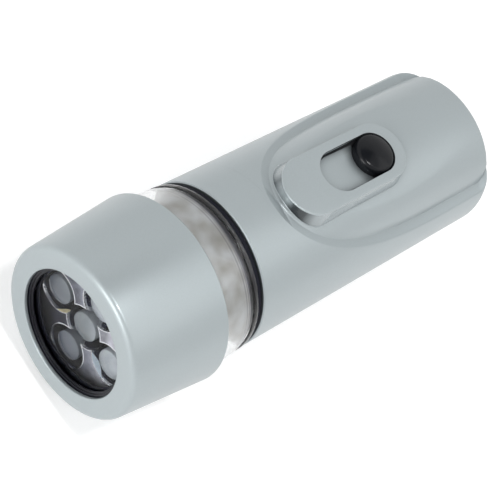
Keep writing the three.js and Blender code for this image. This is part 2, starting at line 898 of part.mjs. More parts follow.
function addLamps() {
  add("led_centre", led(), "led");
  const names = ["led_upper", "led_right", "led_lower", "led_left"];
  around(cupCount, cupRing).forEach(([y, z], i) => add(names[i], led().translate(0, y, z), "led"));
  add("led_board", drum(lampBoardFront, lampBoardRear, opticsRadius), "board");
  const low = lampBoardRear + contactGap;
  for (const [name, y] of [["led_resistor_1", resistorPlace], ["led_resistor_2", -resistorPlace]]) {
    const corner = [low, y - resistorWidth / 2, -resistorLength / 2];
    const far = [low + resistorHeight, y + resistorWidth / 2, resistorLength / 2];
    add(name, block(corner, far), "blackPlastic");
  }
}

function headPieces() {
  const lensRear = lensFront + lensThickness;
  add("head_shell", headShell(), "silver");
  add("window_bezel", windowBezel(), "blackGloss");
  add("front_lens", drum(lensFront, lensRear, opticsRadius, roundSides), "clear");
  add("lens_seal", tube(sealFront, sealFront + sealThickness, sealInner, opticsRadius), "rubber");
  add("reflector", reflector(), "chrome");
  addLamps();
}

// Lamp carrier: front flange, ribbed tube, then the spigot that screws into the handle
function carrierOutline() {
  const outline = [[carrierFront, carrierInner], [carrierFront, opticsRadius]];
  outline.push([flangeRear, opticsRadius], [flangeRear, carrierOuter]);
  const crest = carrierOuter + carrierRib;
  for (let i = 0; i < carrierRibs; i += 1) {
    const x = ribStart + ribPitch * i;
    const end = x + ribWidth;
    outline.push([x, carrierOuter], [x, crest], [end, crest], [end, carrierOuter]);
  }
  const floor = carrierRear - carrierFloor;
  outline.push([spigotFront, carrierOuter], [spigotFront, spigotRadius], [carrierRear, spigotRadius]);
  outline.push([carrierRear, contactHole], [floor, contactHole], [floor, carrierInner]);
  return outline;
}

// Place of the lead that goes out to the contact ring
const leadOut = contactRingFront + contactRingThickness / 2;

function lampCarrier() {
  const hole = leadRadius + seatGap;
  const low = [leadOut - hole, -hole, -spigotRadius - overrun];
  const out = block(low, [leadOut + hole, hole, overrun - carrierInner]);
  const body = turned(closed(carrierOutline()), carrierSides);
  return joined([body, threadRidge(threadStart, threadTurns, 0)], [out]);
}

function clearRing() {
  const front = ringSeatFront + seatGap;
  const seat = ringSeatRadius - seatGap;
  const shoulder = headLength + seatGap;
  return turned(closed([
    [front, clearRingInner],
    [front, seat],
    [shoulder, seat],
    [shoulder, clearRingRadius],
    [clearRingEnd, clearRingRearRadius],
    [clearRingEnd, clearGrooveRadius],
    [clearGrooveEnd, clearGrooveRadius],
    [clearGrooveEnd, clearFlangeRadius],
    [clearRingRear, clearFlangeRadius],
    [clearRingRear, clearRingInner],
  ]));
}

function ringGasket() {
  const rear = spigotFront + gasketThickness;
  const lipFront = clearRingEnd + seatGap;
  return turned(closed([
    [lipFront, gasketInner],
    [lipFront, gasketLipRadius],
    [spigotFront, gasketLipRadius],
    [spigotFront, gasketRadius - gasketEdge],
    [spigotFront + gasketEdge, gasketRadius],
    [rear - gasketEdge, gasketRadius],
    [rear, gasketRadius - gasketEdge],
    [rear, gasketInner],
  ]), innerSides);
}

function contactPlug() {
  return turned([
    [plugFront, 0],
    [plugFront, plugRadius],
    [carrierRear + contactGap, plugRadius],
    [carrierRear + contactGap, plugHeadRadius],
    [plugRear, plugHeadRadius],
    [plugRear, 0],
  ], smallSides);
}

function addLeads() {
  const start = lampBoardRear + contactGap + leadRadius / 2;
  const half = (start + plugFront) / 2;
  const plus = [[start, 0, leadPlace], [half, leadSwing, leadPlace], [plugFront - contactGap, 0, 0]];
  const floor = leadSwing - carrierInner;
  const end = [leadOut, 0, seatGap - spigotRadius];
  const minus = [[start, 0, -leadPlace], [half, -leadSwing, floor], [leadOut, 0, floor], end];
  add("lead_plus", lead(plus), "redPlastic");
  add("lead_minus", lead(minus), "blackPlastic");
}

function addCarrier() {
  const ringRear = contactRingFront + contactRingThickness;
  const ring = tube(contactRingFront, ringRear, spigotRadius + contactGap, contactRingOuter, carrierSides);
  const springEnd = terminalFront - contactGap;
  const coil = spring(plugRear + contactGap, springEnd, contactSpringRadius, contactSpringTop);
  add("lamp_carrier", lampCarrier(), "ivory");
  add("clear_ring", clearRing(), "clear");
  add("ring_gasket", ringGasket(), "rubber");
  add("contact_ring", ring, "brass");
  add("contact_plug", contactPlug(), "brass");
  add("contact_spring", coil, "steel");
  addLeads();
}

// Battery pack
function batteryHolder() {
  const rail = () => drum(packFront, packEnd, railRadius, smallSides);
  const rails = around(cellCount, railPlace).map(([y, z]) => rail().translate(0, -y, -z));
  const front = drum(packFront, packFloor, packRadius);
  const rear = drum(packRearDisc, packEnd, packRadius);
  const hole = drum(packFront - overrun, packEnd + overrun, terminalShank + seatGap, smallSides);
  return joined([front, rear, ...rails], [hole]);
}

function cell() {
  const body = cellFront + cellNub;
  return turned([
    [cellFront, 0],
    [cellFront, cellNubRadius],
    [body, cellNubRadius],
    [body, cellRadius - cellEdge],
    [body + cellEdge, cellRadius],
    [cellRear - cellEdge, cellRadius],
    [cellRear, cellRadius - cellEdge],
    [cellRear, 0],
  ], cellSides);
}

// Every other cell points the other way, with its spring at the other end
function reversed(geometry, turnedRound) {
  if (!turnedRound) return geometry;
  return facingOut(geometry.scale(-1, 1, 1).translate(cellMirror + cellMirror, 0, 0));
}

function addCells() {
  around(cellCount, cellRing).forEach(([y, z], i) => {
    const name = i + 1;
    const flip = i % 2 === 1;
    const coil = spring(cellRear + contactGap, rearPlate - contactGap, cellSpringTop, cellSpringRadius);
    add(`cell_${name}`, reversed(cell(), flip).translate(0, y, z), "cell");
    add(`cell_spring_${name}`, reversed(coil, flip).translate(0, y, z), "steel");
  });
}

// A contact plate under one cell, and a link under the other two, turned towards the first one
function addPlates(x, pad, link, turn) {
  const spread = cellRing * Math.sin(Math.PI / cellCount) + linkHalfWidth;
  const middle = -cellRing * Math.cos(Math.PI / cellCount);
  const far = x + packPlate;
  const padBlock = block([x, -linkHalfWidth, -padRoot], [far, linkHalfWidth, cellRing + linkHalfWidth]);
  const linkBlock = block([x, -spread, middle - linkHalfWidth], [far, spread, middle + linkHalfWidth]);
  add(pad, padBlock.rotateX(turn), "steel");
  add(link, linkBlock.rotateX(turn), "steel");
}

// A rivet through an end disc of the pack, with its head outside
function terminal(outside, inside) {
  const head = outside + Math.sign(inside - outside) * terminalHead;
  return turned([
    [outside, 0],
    [outside, terminalRadius],
    [head, terminalRadius],
    [head, terminalShank],
    [inside, terminalShank],
    [inside, 0],
  ], smallSides);
}

function tailContact() {
  const far = tailContactPlace + tailContactSheet;
  const tongue = block(
    [tailContactPlace, -contactHalfWidth, 0],
    [far, contactHalfWidth, stripLow - contactGap],
  );
  return joined([drum(tailContactPlace, far, tailContactRadius), tongue]);
}

function addPack() {
  add("battery_holder", batteryHolder(), "blackPlastic");
  addPlates(frontPlate, "pad_front", "link_front", 0);
  addPlates(rearPlate, "pad_rear", "link_rear", -((2 * Math.PI) / cellCount));
  add("front_terminal", terminal(terminalFront, frontPlate - contactGap), "brass");
  add("rear_terminal", terminal(terminalRear, rearPlate + packPlate + contactGap), "brass");
  addCells();
  const coilEnd = tailContactPlace - contactGap;
  add("tail_spring", spring(terminalRear + contactGap, coilEnd, tailSpringTop, tailSpringRadius), "steel");
  add("tail_contact", tailContact(), "brass");
}

add("handle_shell", handleShell(), "silver");
addSwitch();
addConductors();
headPieces();
addCarrier();
addPack();

export default torch;
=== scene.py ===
"""Looks of the hand torch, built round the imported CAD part. Row frame, metres.

The helpers below take millimetres measured from the front face and from the torch's axis,
as the CAD source does, and move them into the row frame.
"""

import json
import math

import bmesh
import bpy
from mathutils import Matrix, Vector, geometry


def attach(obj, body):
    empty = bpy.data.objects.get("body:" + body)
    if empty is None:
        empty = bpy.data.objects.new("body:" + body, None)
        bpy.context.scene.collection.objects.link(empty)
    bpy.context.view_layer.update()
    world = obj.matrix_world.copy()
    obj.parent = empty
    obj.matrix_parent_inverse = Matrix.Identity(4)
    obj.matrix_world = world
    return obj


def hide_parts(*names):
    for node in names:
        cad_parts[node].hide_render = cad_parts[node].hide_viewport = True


# Where the torch's front face and axis lie in the row frame
MM = 0.001
FRONT_X = -0.05925
AXIS_Z = 0.0222432

# Sides of turned pieces, and the angles in degrees past which an edge is drawn sharp
ROUND = 128
KNOB_SIDES = 64
LED_SIDES = 48
CHIP_SIDES = 24
SHARP = 28
BOSS_SHARP = 32
FRAME_SHARP = 32
CUP_SHARP = 40

# Rounded corners: steps of the arc, the angle in radians at which a corner counts as straight or
# folded, and the share of a side that one corner may take
CORNER_STEPS = 5
HEAD_STEPS = 6
EDGE_STEPS = 4
STRAIGHT = 0.02
SIDE_SHARE = 0.49
NO_LENGTH = 1e-9

# Distances in metres at which corners of a mesh are joined and faces count as having no area
JOINED = 1e-7
NO_AREA = 1e-8

# Handle
LENGTH = 118.5
HANDLE_R = 20.0
HANDLE_FRONT = 37.6
BEVEL_X = 0.25
BEVEL_R = 0.25
BEVEL_STEPS = 4
BORE = 16.6
COUNTER_R = 17.7
COUNTER_END = 39.4
BORE_END = 115.0
TAIL_ROUND = 2.5
TAIL_FLAT_R = 14.0

# Saddle and the ledge round it; angles in degrees from the top, the widest place in the middle
SADDLE_START = 48.5
SADDLE_TIP = 50.4
SADDLE_MIDDLE = 100.0
SADDLE_ANGLE = 65.0
FOOT_ANGLE = 59.56
SADDLE_TOP = 21.4
SADDLE_TOP_X = 83.0
LEDGE_DROP = 1.7

# Half width under which the saddle is the body's own round, and how far before the tail the ledge's
# painted shade ends
SADDLE_NARROW = 1.0
LEDGE_SPARE = 0.5

# The crown's limit all along the handle, and its rounding at the tail
SADDLE_TAIL_TOP = 20.35
SADDLE_TAIL_ROUND = 4.0

# Where the saddle's foot turns in round the tail, on a share of a quarter circle. Its rim starts at a
# share of the half angle, and is down on the ledge once the foot has turned by the drop's angle
TAIL_TURN = 3.5
TAIL_TURN_ANGLE = 23.0
TAIL_TURN_SHARE = 0.97
RIM_DROP_ANGLE = 5.0
RIM_DROP_START = 0.85

# Points round the handle, and the rounding of the two long edges on each side
SADDLE_STEPS = 96
UNDER_STEPS = 96
FOOT_SOFT = 0.6
LEDGE_SOFT = 1.6

# Places of the handle's outlines; the first places after the saddle's start would be too near to it
FRONT_PLACES = (42.0, 46.0)
SADDLE_PLACES = 96
TOO_NEAR_PLACES = 2
REAR_PLACES = (105.0, 110.0, 113.0)
TAIL_PLACES = 16

# Boss: its size, draft, fillet and rounded rim, which starts a little out on the drafted wall
BOSS_TOP = 22.15
BOSS_R = 7.3
BOSS_FRONT = 59.1
BOSS_REAR = 81.7
BOSS_SLOPE = 0.27
BOSS_FILLET = 0.18
BOSS_FILLET_SINK = 0.02
BOSS_RIM = 0.3
BOSS_RIM_OUT = 0.08
BOSS_STEPS = 5
BOSS_WALL_SHARES = (1.0, 0.66, 0.33, 0.0)

# The height at which the search for the boss's foot starts, and its rounds
FOOT_GUESS = 20.5
FOOT_TRIES = 8

# Points round each end of a pill and along each side
PILL_STEPS = 36
PILL_SIDE_STEPS = 28

# Slot with a black line in its edge, which is painted shade, the track under it with its skin,
# and the cut that opens it
SLOT_R = 5.1
SLOT_SHADE_LINE = 0.1
SLOT_SHADE_LINE_DEPTH = 0.2
SLOT_FRONT = 68.5
SLOT_REAR = 80.6
TRACK_R = 6.1
TRACK_TOP = 21.15
TRACK_FLOOR = 17.45
TRACK_MIDDLE = 70.0
TRACK_SKIN = 1.4
TRACK_SKIN_GAP = 0.04
CUT_OVER = 3.0

# Knob
KNOB_R = 5.0
KNOB_LOW = 19.6
KNOB_EDGE = 1.25
KNOB_EDGE_Z = 21.35
KNOB_EDGE_TURN = 74.0
KNOB_SIDE_GAP = 0.1
KNOB_TOP = 23.28
KNOB_STEPS = 8

# Head
WINDOW_R = 14.72
HEAD_LIP = 0.9
HEAD_FRONT_R = 19.88
HEAD_REAR_R = 22.235
HEAD_END = 24.8
HEAD_BORE = 17.6
HEAD_BORE_END = 19.8
HEAD_SEAT_X = 21.6
HEAD_SEAT_R = 20.3

# Window ring, lens and seal
OPTICS_R = 17.35
BEZEL_X = 1.1
BEZEL_STEP_X = 1.5
BEZEL_END = 1.9
BEZEL_R = 14.2
BEZEL_STEP_R = 13.75
LENS_X = 2.1
LENS_END = 3.1
SEAL_X = 3.3
SEAL_END = 3.9
SEAL_R = 13.4
SEAL_SOFT = 0.12

# Reflector: the web's place, and a cup's radii, depth, straight tail, distance from the axis and lip
REFLECTOR_X = 4.1
CUP_MOUTH = 5.2
CUP_THROAT = 2.8
CUP_DEPTH = 8.6
CUP_TAIL = 0.6
CUP_RING = 9.6
CUP_LIP = 0.25
CUP_LIP_START = 0.06
CUP_OPENING = CUP_MOUTH + CUP_LIP

# Two cups meet where their axes are nearer than this share of CUP_RING
NEXT_CUP_SHARE = 1.1

# Points of a cup, and the last rings, which are its lip with the painted highlight
CUP_SIDES = 96
CUP_STEPS = 28
LIP_RINGS = 4
CUP_TURNS = [2 * math.pi * i / CUP_SIDES for i in range(CUP_SIDES)]

# A triangle with its middle within this share of the opening isn't part of the web
OPENING_SHARE = 0.9985
WEB_MERGE = 1e-6

# Painted glints in two cups: how far they stand off the wall, their width at the tips, and their points
GLINT_LIFT = 0.06
GLINT_TIP = 0.02
GLINT_STEPS = 24
GLINT_ROWS = 5

# Lamps and the chips inside them
LED_BASE = 14.5
LED_TIP = 3.7
LED_EDGE = 4.5
LED_RIM = 0.25
LED_RIM_IN = 0.1
LED_R = 3.5
LED_SHOULDER = 1.6
LED_FOOT_R = 2.5
LED_NECK = 11.0
LED_FLANGE = 1.0
LED_FLANGE_R = 2.85
LED_CAP_STEPS = 10
CHIP_FRONT = 9.6
CHIP_RIM = 9.65
CHIP_RIM_R = 1.0
CHIP_REAR = 10.05
CHIP_REAR_R = 0.58

# Clear ring
RING_FRONT = 21.8
RING_BORE = 17.5
RING_SEAT_R = 20.1
RING_STEP_X = 25.0
RING_STEP_R = 20.9
RING_GROOVE_X = 33.2
RING_GROOVE_EDGE_R = 20.2
RING_GROOVE_R = 19.85
RING_GROOVE_END = 34.4
RING_FLANGE_R = 20.15
RING_REAR = 35.8

# Sleeve over the carrier's ribs, and the gasket
SLEEVE_FRONT = 22.0
SLEEVE_REAR = 34.9
SLEEVE_LOW_R = 17.32
SLEEVE_R = 17.42
GASKET_LIP_X = 33.4
GASKET_LIP_R = 17.28
GASKET_BORE = 16.52
GASKET_FRONT = 36.0
GASKET_REAR = 37.4
GASKET_R = 19.5

# The noise's values at which a grain has its low and its high tone
GRAIN_LOW = 0.35
GRAIN_HIGH = 0.65

# Painted shade in creases: its reach in metres, the openness of the darkest and of a plain place, its tone
CREASE_REACH = 0.0028
CREASE_SAMPLES = 8
CREASE_DEEP = 0.4
CREASE_OPEN = 0.92
CREASE_SHADE_TONE = (0.3, 0.3, 0.31)
WHITE = (1, 1, 1)

# The paint's tone and its grain, which the boss's wall and the ledge share
SILVER = (0.42, 0.47, 0.485)
PAINT_GRAIN = {"scale": 9000, "spread": 0.05, "relief": 0.04}

# Painted reflection on the boss's wall, from its left end over its front to its right
BOSS_PAINTED_REFLECTION = [
    (0.0, (0.85, 0.85, 0.85)), (0.22, (0.75, 0.75, 0.75)), (0.3, (0.32, 0.33, 0.34)),
    (0.42, (1.0, 1.0, 1.0)), (0.5, (0.75, 0.75, 0.75)), (0.6, (0.1, 0.105, 0.11)),
    (0.72, (0.12, 0.125, 0.13)), (0.84, (0.8, 0.8, 0.8)), (1.0, (0.95, 0.95, 0.95)),
]

# Painted shade and light on the reflector's web and the lamps, from the window's dark side to its bright side
WEB_WAY = (0, -0.77, 0.64)
WEB_DARK = -13
WEB_BRIGHT = 9
WEB_PAINTED_SHADING = [
    (0.0, (0.03, 0.03, 0.05)), (0.3, (0.06, 0.06, 0.09)), (0.55, (0.4, 0.42, 0.47)), (1.0, (0.9, 0.9, 0.92)),
]
LED_WAY = (0, -0.6, 0.8)
LED_DARK = -11
LED_BRIGHT = 8
LED_PAINTED_SHADING = [(0.0, (0.09, 0.1, 0.135)), (0.58, (0.235, 0.26, 0.275)), (1.0, (0.56, 0.6, 0.64))]

# Patches of the pale tube, and the lines round its rear end, which are painted reflections
PATCH_SCALE = 210
PATCH_DETAIL = 1.5
PATCH_BROWN = (0.44, 0.42, 0.38)
PATCH_PALE = (0.74, 0.745, 0.745)
PATCH_RELIEF = 0.4
PATCH_HEIGHT = 0.0003
LINES_START = 33
LINES_END = 35
LINES = [
    (0.0, WHITE), (0.12, (0.4, 0.4, 0.46)), (0.2, WHITE), (0.36, (0.9, 0.9, 0.92)),
    (0.44, (0.25, 0.25, 0.32)), (0.52, (0.95, 0.95, 1)), (0.66, (0.9, 0.9, 0.95)),
    (0.72, (0.1, 0.1, 0.16)), (1.0, (0.06, 0.06, 0.1)),
]

# Light of the studio's walls and ceiling, and the height at which the walls end
WALL_LIGHT = (0.76, 0.76, 0.76)
CEILING_LIGHT = (0.01, 0.01, 0.015)
WALL_END = 0.86

# The lamps' direction, side in metres and power in watts, their distance, and where they point
LAMPS = {
    "key": ((0.34, -0.437, 0.832), 0.75, 1.05),
    "side": ((-0.932, 0.0, 0.362), 0.4, 2.5),
    "top": ((-0.1, -0.155, 0.983), 0.08, 1.7),
}
LAMP_DISTANCE = 0.8
LAMP_AIM = (0, 0, 0.02)

# The table's half width, its tone, and how much it shines in the picture and in gloss and glass
TABLE_HALF = 6.0
TABLE_TONE = 0.8
TABLE_ROUGHNESS = 0.7
SEEN_LIFT = 0.35
GLOSS_LIFT = 0.2

# The photo's camera, found by fitting the torch's outline
LENS = 113.08
SENSOR = 36
CLIP_START = 0.01
CAMERA = (
    (0.697326, 0.371735, -0.612822, -0.225974),
    (-0.561685, 0.814538, -0.145043, -0.053891),
    (0.445249, 0.445356, 0.776796, 0.299488),
    (0.0, 0.0, 0.0, 1.0),
)


def at(x, y, z):
    """Row frame place of a point given in millimetres from the front face and the axis."""
    return (x * MM + FRONT_X, y * MM, z * MM + AXIS_Z)


# Tools for materials
def socket(material, name):
    """One of the shader's own sockets."""
    return material.node_tree.nodes["Principled BSDF"].inputs[name]


def shader(name, color, roughness, **values):
    """A Principled material with its plain numbers set on the sockets."""
    made = bpy.data.materials.new(name)
    made.use_nodes = True
    socket(made, "Base Color").default_value = (*color, 1)
    socket(made, "Roughness").default_value = roughness
    for key, value in values.items():
        socket(made, key.replace("_", " ")).default_value = value
    return made


def link(material, source, target):
    """Joins an output to an input."""
    material.node_tree.links.new(source, target)


def noise(material, scale, detail=3.0):
    """A noise over the object's own coordinates."""
    nodes = material.node_tree.nodes
    place = nodes.new("ShaderNodeTexCoord")
    made = nodes.new("ShaderNodeTexNoise")
    made.inputs["Scale"].default_value = scale
    made.inputs["Detail"].default_value = detail
    link(material, place.outputs["Object"], made.inputs["Vector"])
    return made.outputs["Fac"]


def bump(material, source, strength, distance):
    """A fine relief driven by a noise."""
    made = material.node_tree.nodes.new("ShaderNodeBump")
    made.inputs["Strength"].default_value = strength
    made.inputs["Distance"].default_value = distance
    link(material, source, made.inputs["Height"])
    link(material, made.outputs["Normal"], socket(material, "Normal"))


def stops(material, source, marks):
    """A ramp of [position, colour] marks over a value; gives its colour."""
    ramp = material.node_tree.nodes.new("ShaderNodeValToRGB")
    elements = ramp.color_ramp.elements
    while len(elements) < len(marks):
        elements.new(0.5)
    for element, (position, color) in zip(elements, marks):
        element.position = position
        element.color = (*color, 1)
    link(material, source, ramp.inputs["Fac"])
    return ramp.outputs["Color"]


def tinted(material, source, low, high):
    """Lets a noise move the base colour between two near tones."""
    tone = stops(material, source, [(GRAIN_LOW, low), (GRAIN_HIGH, high)])
    link(material, tone, socket(material, "Base Color"))


def shaded(material, tone):
    """Multiplies the linked base colour by a tone."""
    target = socket(material, "Base Color")
    made = material.node_tree.nodes.new("ShaderNodeMix")
    made.data_type = "RGBA"
    made.blend_type = "MULTIPLY"
    made.inputs["Factor"].default_value = 1.0
    link(material, target.links[0].from_socket, made.inputs["A"])
    link(material, tone, made.inputs["B"])
    link(material, made.outputs["Result"], target)
    return material


def painted_crease_shade(material):
    """Painted shade: darkens the base colour in creases and under edges, where shade falls."""
    near = material.node_tree.nodes.new("ShaderNodeAmbientOcclusion")
    near.samples = CREASE_SAMPLES
    near.inputs["Distance"].default_value = CREASE_REACH
    tone = stops(material, near.outputs["AO"], [(CREASE_DEEP, CREASE_SHADE_TONE), (CREASE_OPEN, WHITE)])
    return shaded(material, tone)


def grained(name, color, roughness, scale, spread=0.06, relief=0.05, height=0.00002, **values):
    """A surface with a faint grain: its scale, spread of tone, relief and height in metres."""
    made = shader(name, color, roughness, **values)
    grain = noise(made, scale)
    low = [c * (1 - spread) for c in color]
    high = [min(1, c * (1 + spread)) for c in color]
    tinted(made, grain, low, high)
    bump(made, grain, relief, height)
    return made


def along(material, way, low, high):
    """0 to 1 between two distances, in millimetres from the front face's middle, along a direction."""
    nodes = material.node_tree.nodes
    place = nodes.new("ShaderNodeTexCoord")
    dot = nodes.new("ShaderNodeVectorMath")
    dot.operation = "DOT_PRODUCT"
    dot.inputs[1].default_value = way
    link(material, place.outputs["Object"], dot.inputs[0])
    start = sum(a * b for a, b in zip(way, at(0, 0, 0)))
    made = nodes.new("ShaderNodeMapRange")
    made.inputs["From Min"].default_value = start + low * MM
    made.inputs["From Max"].default_value = start + high * MM
    link(material, dot.outputs["Value"], made.inputs["Value"])
    return made.outputs["Result"]


def paired(material, operation, first, second):
    """A math node on an output and on another output or a number."""
    made = material.node_tree.nodes.new("ShaderNodeMath")
    made.operation = operation
    link(material, first, made.inputs[0])
    if isinstance(second, float):
        made.inputs[1].default_value = second
    else:
        link(material, second, made.inputs[1])
    return made.outputs[0]


# Materials that are a grain and no more; names with a capital are the shader's own sockets
GRAINED = {
    # Plastics and rubber
    "black_gloss": {
        "color": (0.008, 0.009, 0.011), "roughness": 0.22, "scale": 400, "spread": 0.1, "relief": 0.02,
        "Specular_IOR_Level": 0.23,
    },
    "ring_gloss": {
        "color": (0.008, 0.008, 0.013), "roughness": 0.3, "scale": 500, "spread": 0.1, "relief": 0.02,
        "Specular_IOR_Level": 0.33,
    },
    "black_plastic": {
        "color": (0.022, 0.023, 0.026), "roughness": 0.38, "scale": 4000, "spread": 0.1, "relief": 0.08,
    },
    "red_plastic": {"color": (0.42, 0.03, 0.02), "roughness": 0.42, "scale": 3000},
    "black_rubber": {
        "color": (0.008, 0.009, 0.016), "roughness": 0.6, "scale": 5000, "spread": 0.1, "relief": 0.12,
        "Specular_IOR_Level": 0.15,
    },
    "ivory_plastic": {"color": (0.62, 0.61, 0.57), "roughness": 0.35, "scale": 2500, "spread": 0.04},
    "white_board": {"color": (0.72, 0.74, 0.7), "roughness": 0.5, "scale": 3000, "spread": 0.03},
    "cell_sleeve": {"color": (0.05, 0.06, 0.07), "roughness": 0.35, "scale": 1500, "relief": 0.03},
    "phosphor": {"color": (0.8, 0.62, 0.06), "roughness": 0.45, "scale": 4000, "spread": 0.05},
    # Clear ring, and the window's disc, which mirrors little of the room
    "clear_plastic": {
        "color": (0.965, 0.98, 0.985), "roughness": 0.03, "scale": 200, "spread": 0.004, "relief": 0.01,
        "IOR": 1.49, "Transmission_Weight": 1.0,
    },
    "coated_glass": {
        "color": (0.98, 0.985, 0.99), "roughness": 0.02, "scale": 200, "spread": 0.004, "relief": 0.01,
        "IOR": 1.13, "Transmission_Weight": 1.0,
    },
    # Metals: the cups, dark as painted shade, their rounded lips, bright as a painted highlight, and the
    # contacts
    "chrome": {
        "color": (0.05, 0.058, 0.15), "roughness": 0.06, "scale": 700, "spread": 0.12, "relief": 0.5,
        "height": 0.0001, "Metallic": 1.0,
    },
    "lip_painted_highlight": {
        "color": (0.86, 0.87, 0.9), "roughness": 0.05, "scale": 1500, "spread": 0.02, "relief": 0.6,
        "height": 0.0002, "Metallic": 1.0,
    },
    "brass": {
        "color": (0.6, 0.42, 0.16), "roughness": 0.28, "scale": 3000, "relief": 0.04, "Metallic": 1.0,
    },
    "steel": {
        "color": (0.5, 0.51, 0.52), "roughness": 0.28, "scale": 3000, "spread": 0.05, "relief": 0.04,
        "Metallic": 1.0,
    },
    # Painted light in the cups
    "cold_glint": {"color": (0.72, 0.83, 0.94), "roughness": 0.3, "scale": 900, "spread": 0.1},
    "warm_glint": {"color": (0.8, 0.72, 0.46), "roughness": 0.3, "scale": 900, "spread": 0.1},
}


def silver_paint():
    """The head's and handle's paint, with painted shade in its creases."""
    return painted_crease_shade(grained(
        "silver_paint", SILVER, roughness=0.42, **PAINT_GRAIN,
        Metallic=0.5, Coat_Weight=0.32, Coat_Roughness=0.14,
    ))


def ledge_paint_painted_shade():
    """The same paint on the ledge, which shines less, darker as painted shade of the sloping step."""
    return painted_crease_shade(grained(
        "ledge_paint_painted_shade", (0.388, 0.436, 0.451), roughness=0.44, **PAINT_GRAIN,
        Metallic=0.5, Coat_Weight=0.2, Coat_Roughness=0.2,
    ))


def boss_gloss_painted_reflection():
    """The boss's wall: paint with a painted reflection, light and dark by turns round its front end."""
    made = grained(
        "boss_gloss_painted_reflection", SILVER, roughness=0.25, **PAINT_GRAIN,
        Metallic=0.6, Coat_Weight=0.6, Coat_Roughness=0.05,
    )
    nodes = made.node_tree.nodes
    place = nodes.new("ShaderNodeTexCoord")
    split = nodes.new("ShaderNodeSeparateXYZ")
    link(made, place.outputs["Object"], split.inputs["Vector"])
    back = nodes.new("ShaderNodeMath")
    back.operation = "SUBTRACT"
    back.inputs[0].default_value = at(BOSS_FRONT, 0, 0)[0]
    link(made, split.outputs["X"], back.inputs[1])
    turn = paired(made, "ARCTAN2", split.outputs["Y"], back.outputs[0])
    share = nodes.new("ShaderNodeMapRange")
    share.inputs["From Min"].default_value = math.pi / 2
    share.inputs["From Max"].default_value = -math.pi / 2
    link(made, turn, share.inputs["Value"])
    return painted_crease_shade(shaded(made, stops(made, share.outputs["Result"], BOSS_PAINTED_REFLECTION)))


def web_chrome():
    """The web round the cups: marbled; painted shade beside the black ring, painted light across it."""
    made = grained(
        "web_chrome", (0.5, 0.5, 0.54), roughness=0.3, scale=260, spread=0.4, relief=0.1, height=0.0003,
        Metallic=1.0,
    )
    return shaded(made, stops(made, along(made, WEB_WAY, WEB_DARK, WEB_BRIGHT), WEB_PAINTED_SHADING))


def led_lens():
    """Milky lamps; painted shade darkens them at the window's dark side, each lighter towards its bright
    side.
    """
    made = grained(
        "led_lens", (0.9, 0.92, 0.94), roughness=0.12, scale=300, spread=0.1, relief=0.01,
        IOR=1.5, Transmission_Weight=0.2,
    )
    return shaded(made, stops(made, along(made, LED_WAY, LED_DARK, LED_BRIGHT), LED_PAINTED_SHADING))


def frosted():
    """Pale tube with faint brownish patches, and fine dark lines at its rear end as painted reflections."""
    made = shader("frosted", (0.6, 0.61, 0.6), roughness=0.3)
    patches = noise(made, PATCH_SCALE, PATCH_DETAIL)
    tinted(made, patches, PATCH_BROWN, PATCH_PALE)
    bump(made, patches, PATCH_RELIEF, PATCH_HEIGHT)
    return shaded(made, stops(made, along(made, (1, 0, 0), LINES_START, LINES_END), LINES))


def make_materials():
    """Every material of the torch by its name."""
    made = {name: grained(name, **values) for name, values in GRAINED.items()}
    made["silver_paint"] = silver_paint()
    made["ledge_paint_painted_shade"] = ledge_paint_painted_shade()
    made["boss_gloss_painted_reflection"] = boss_gloss_painted_reflection()
    made["web_chrome"] = web_chrome()
    made["led_lens"] = led_lens()
    made["frosted"] = frosted()
    return made


# Meshes
def mesh_object(name, points, faces):
    """A new object in the scene, with its points in the row frame."""
    mesh = bpy.data.meshes.new(name)
    mesh.from_pydata(points, [], faces)
    made = bpy.data.objects.new(name, mesh)
    bpy.context.collection.objects.link(made)
    return made


def piece(name, points, faces, slot, body, replaced=(), sharp=SHARP, look=None):
    """A smooth shaded mesh that rides on a CAD body, in its slot's material or in another look."""
    made = mesh_object(name, [at(*p) for p in points], faces)
    made.data.materials.append(MATERIALS[look or slot])
    clean(made.data, sharp)
    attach(made, body)
    if replaced:
        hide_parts(*replaced)
    return made


def clean(mesh, sharp):
    """Joins equal corners, turns the faces out and shades them smooth up to an angle."""
    work = bmesh.new()
    work.from_mesh(mesh)
    bmesh.ops.remove_doubles(work, verts=work.verts, dist=JOINED)
    bmesh.ops.dissolve_degenerate(work, edges=work.edges, dist=NO_AREA)
    bmesh.ops.recalc_face_normals(work, faces=work.faces)
    work.to_mesh(mesh)
    work.free()
    mesh.shade_smooth()
    mesh.set_sharp_from_angle(angle=math.radians(sharp))


def strip(rings, loop=False):
    """Points and faces of a skin over rings with equal counts; a ring of one point is a pole."""
    points, faces, starts = [], [], []
    for ring in rings:
        starts.append(len(points))
        points.extend(ring)
    pairs = list(zip(range(len(rings)), range(1, len(rings))))
    if loop:
        pairs.append((len(rings) - 1, 0))
    for a, b in pairs:
        faces.extend(band(starts[a], len(rings[a]), starts[b], len(rings[b])))
    return points, faces


def band(a, na, b, nb):
    """Faces between two neighbouring rings."""
    faces = []
    for i in range(max(na, nb)):
        j = (i + 1) % max(na, nb)
        face = [a + i % na, a + j % na, b + j % nb, b + i % nb]
        faces.append(list(dict.fromkeys(face)))
    return faces


def ring_points(y, z, radius, count):
    """Points of a circle across the torch; a circle without a radius is one point."""
    turns = [2 * math.pi * i / count for i in range(count if radius > 0 else 1)]
    return [(y + radius * math.cos(t), z + radius * math.sin(t)) for t in turns]


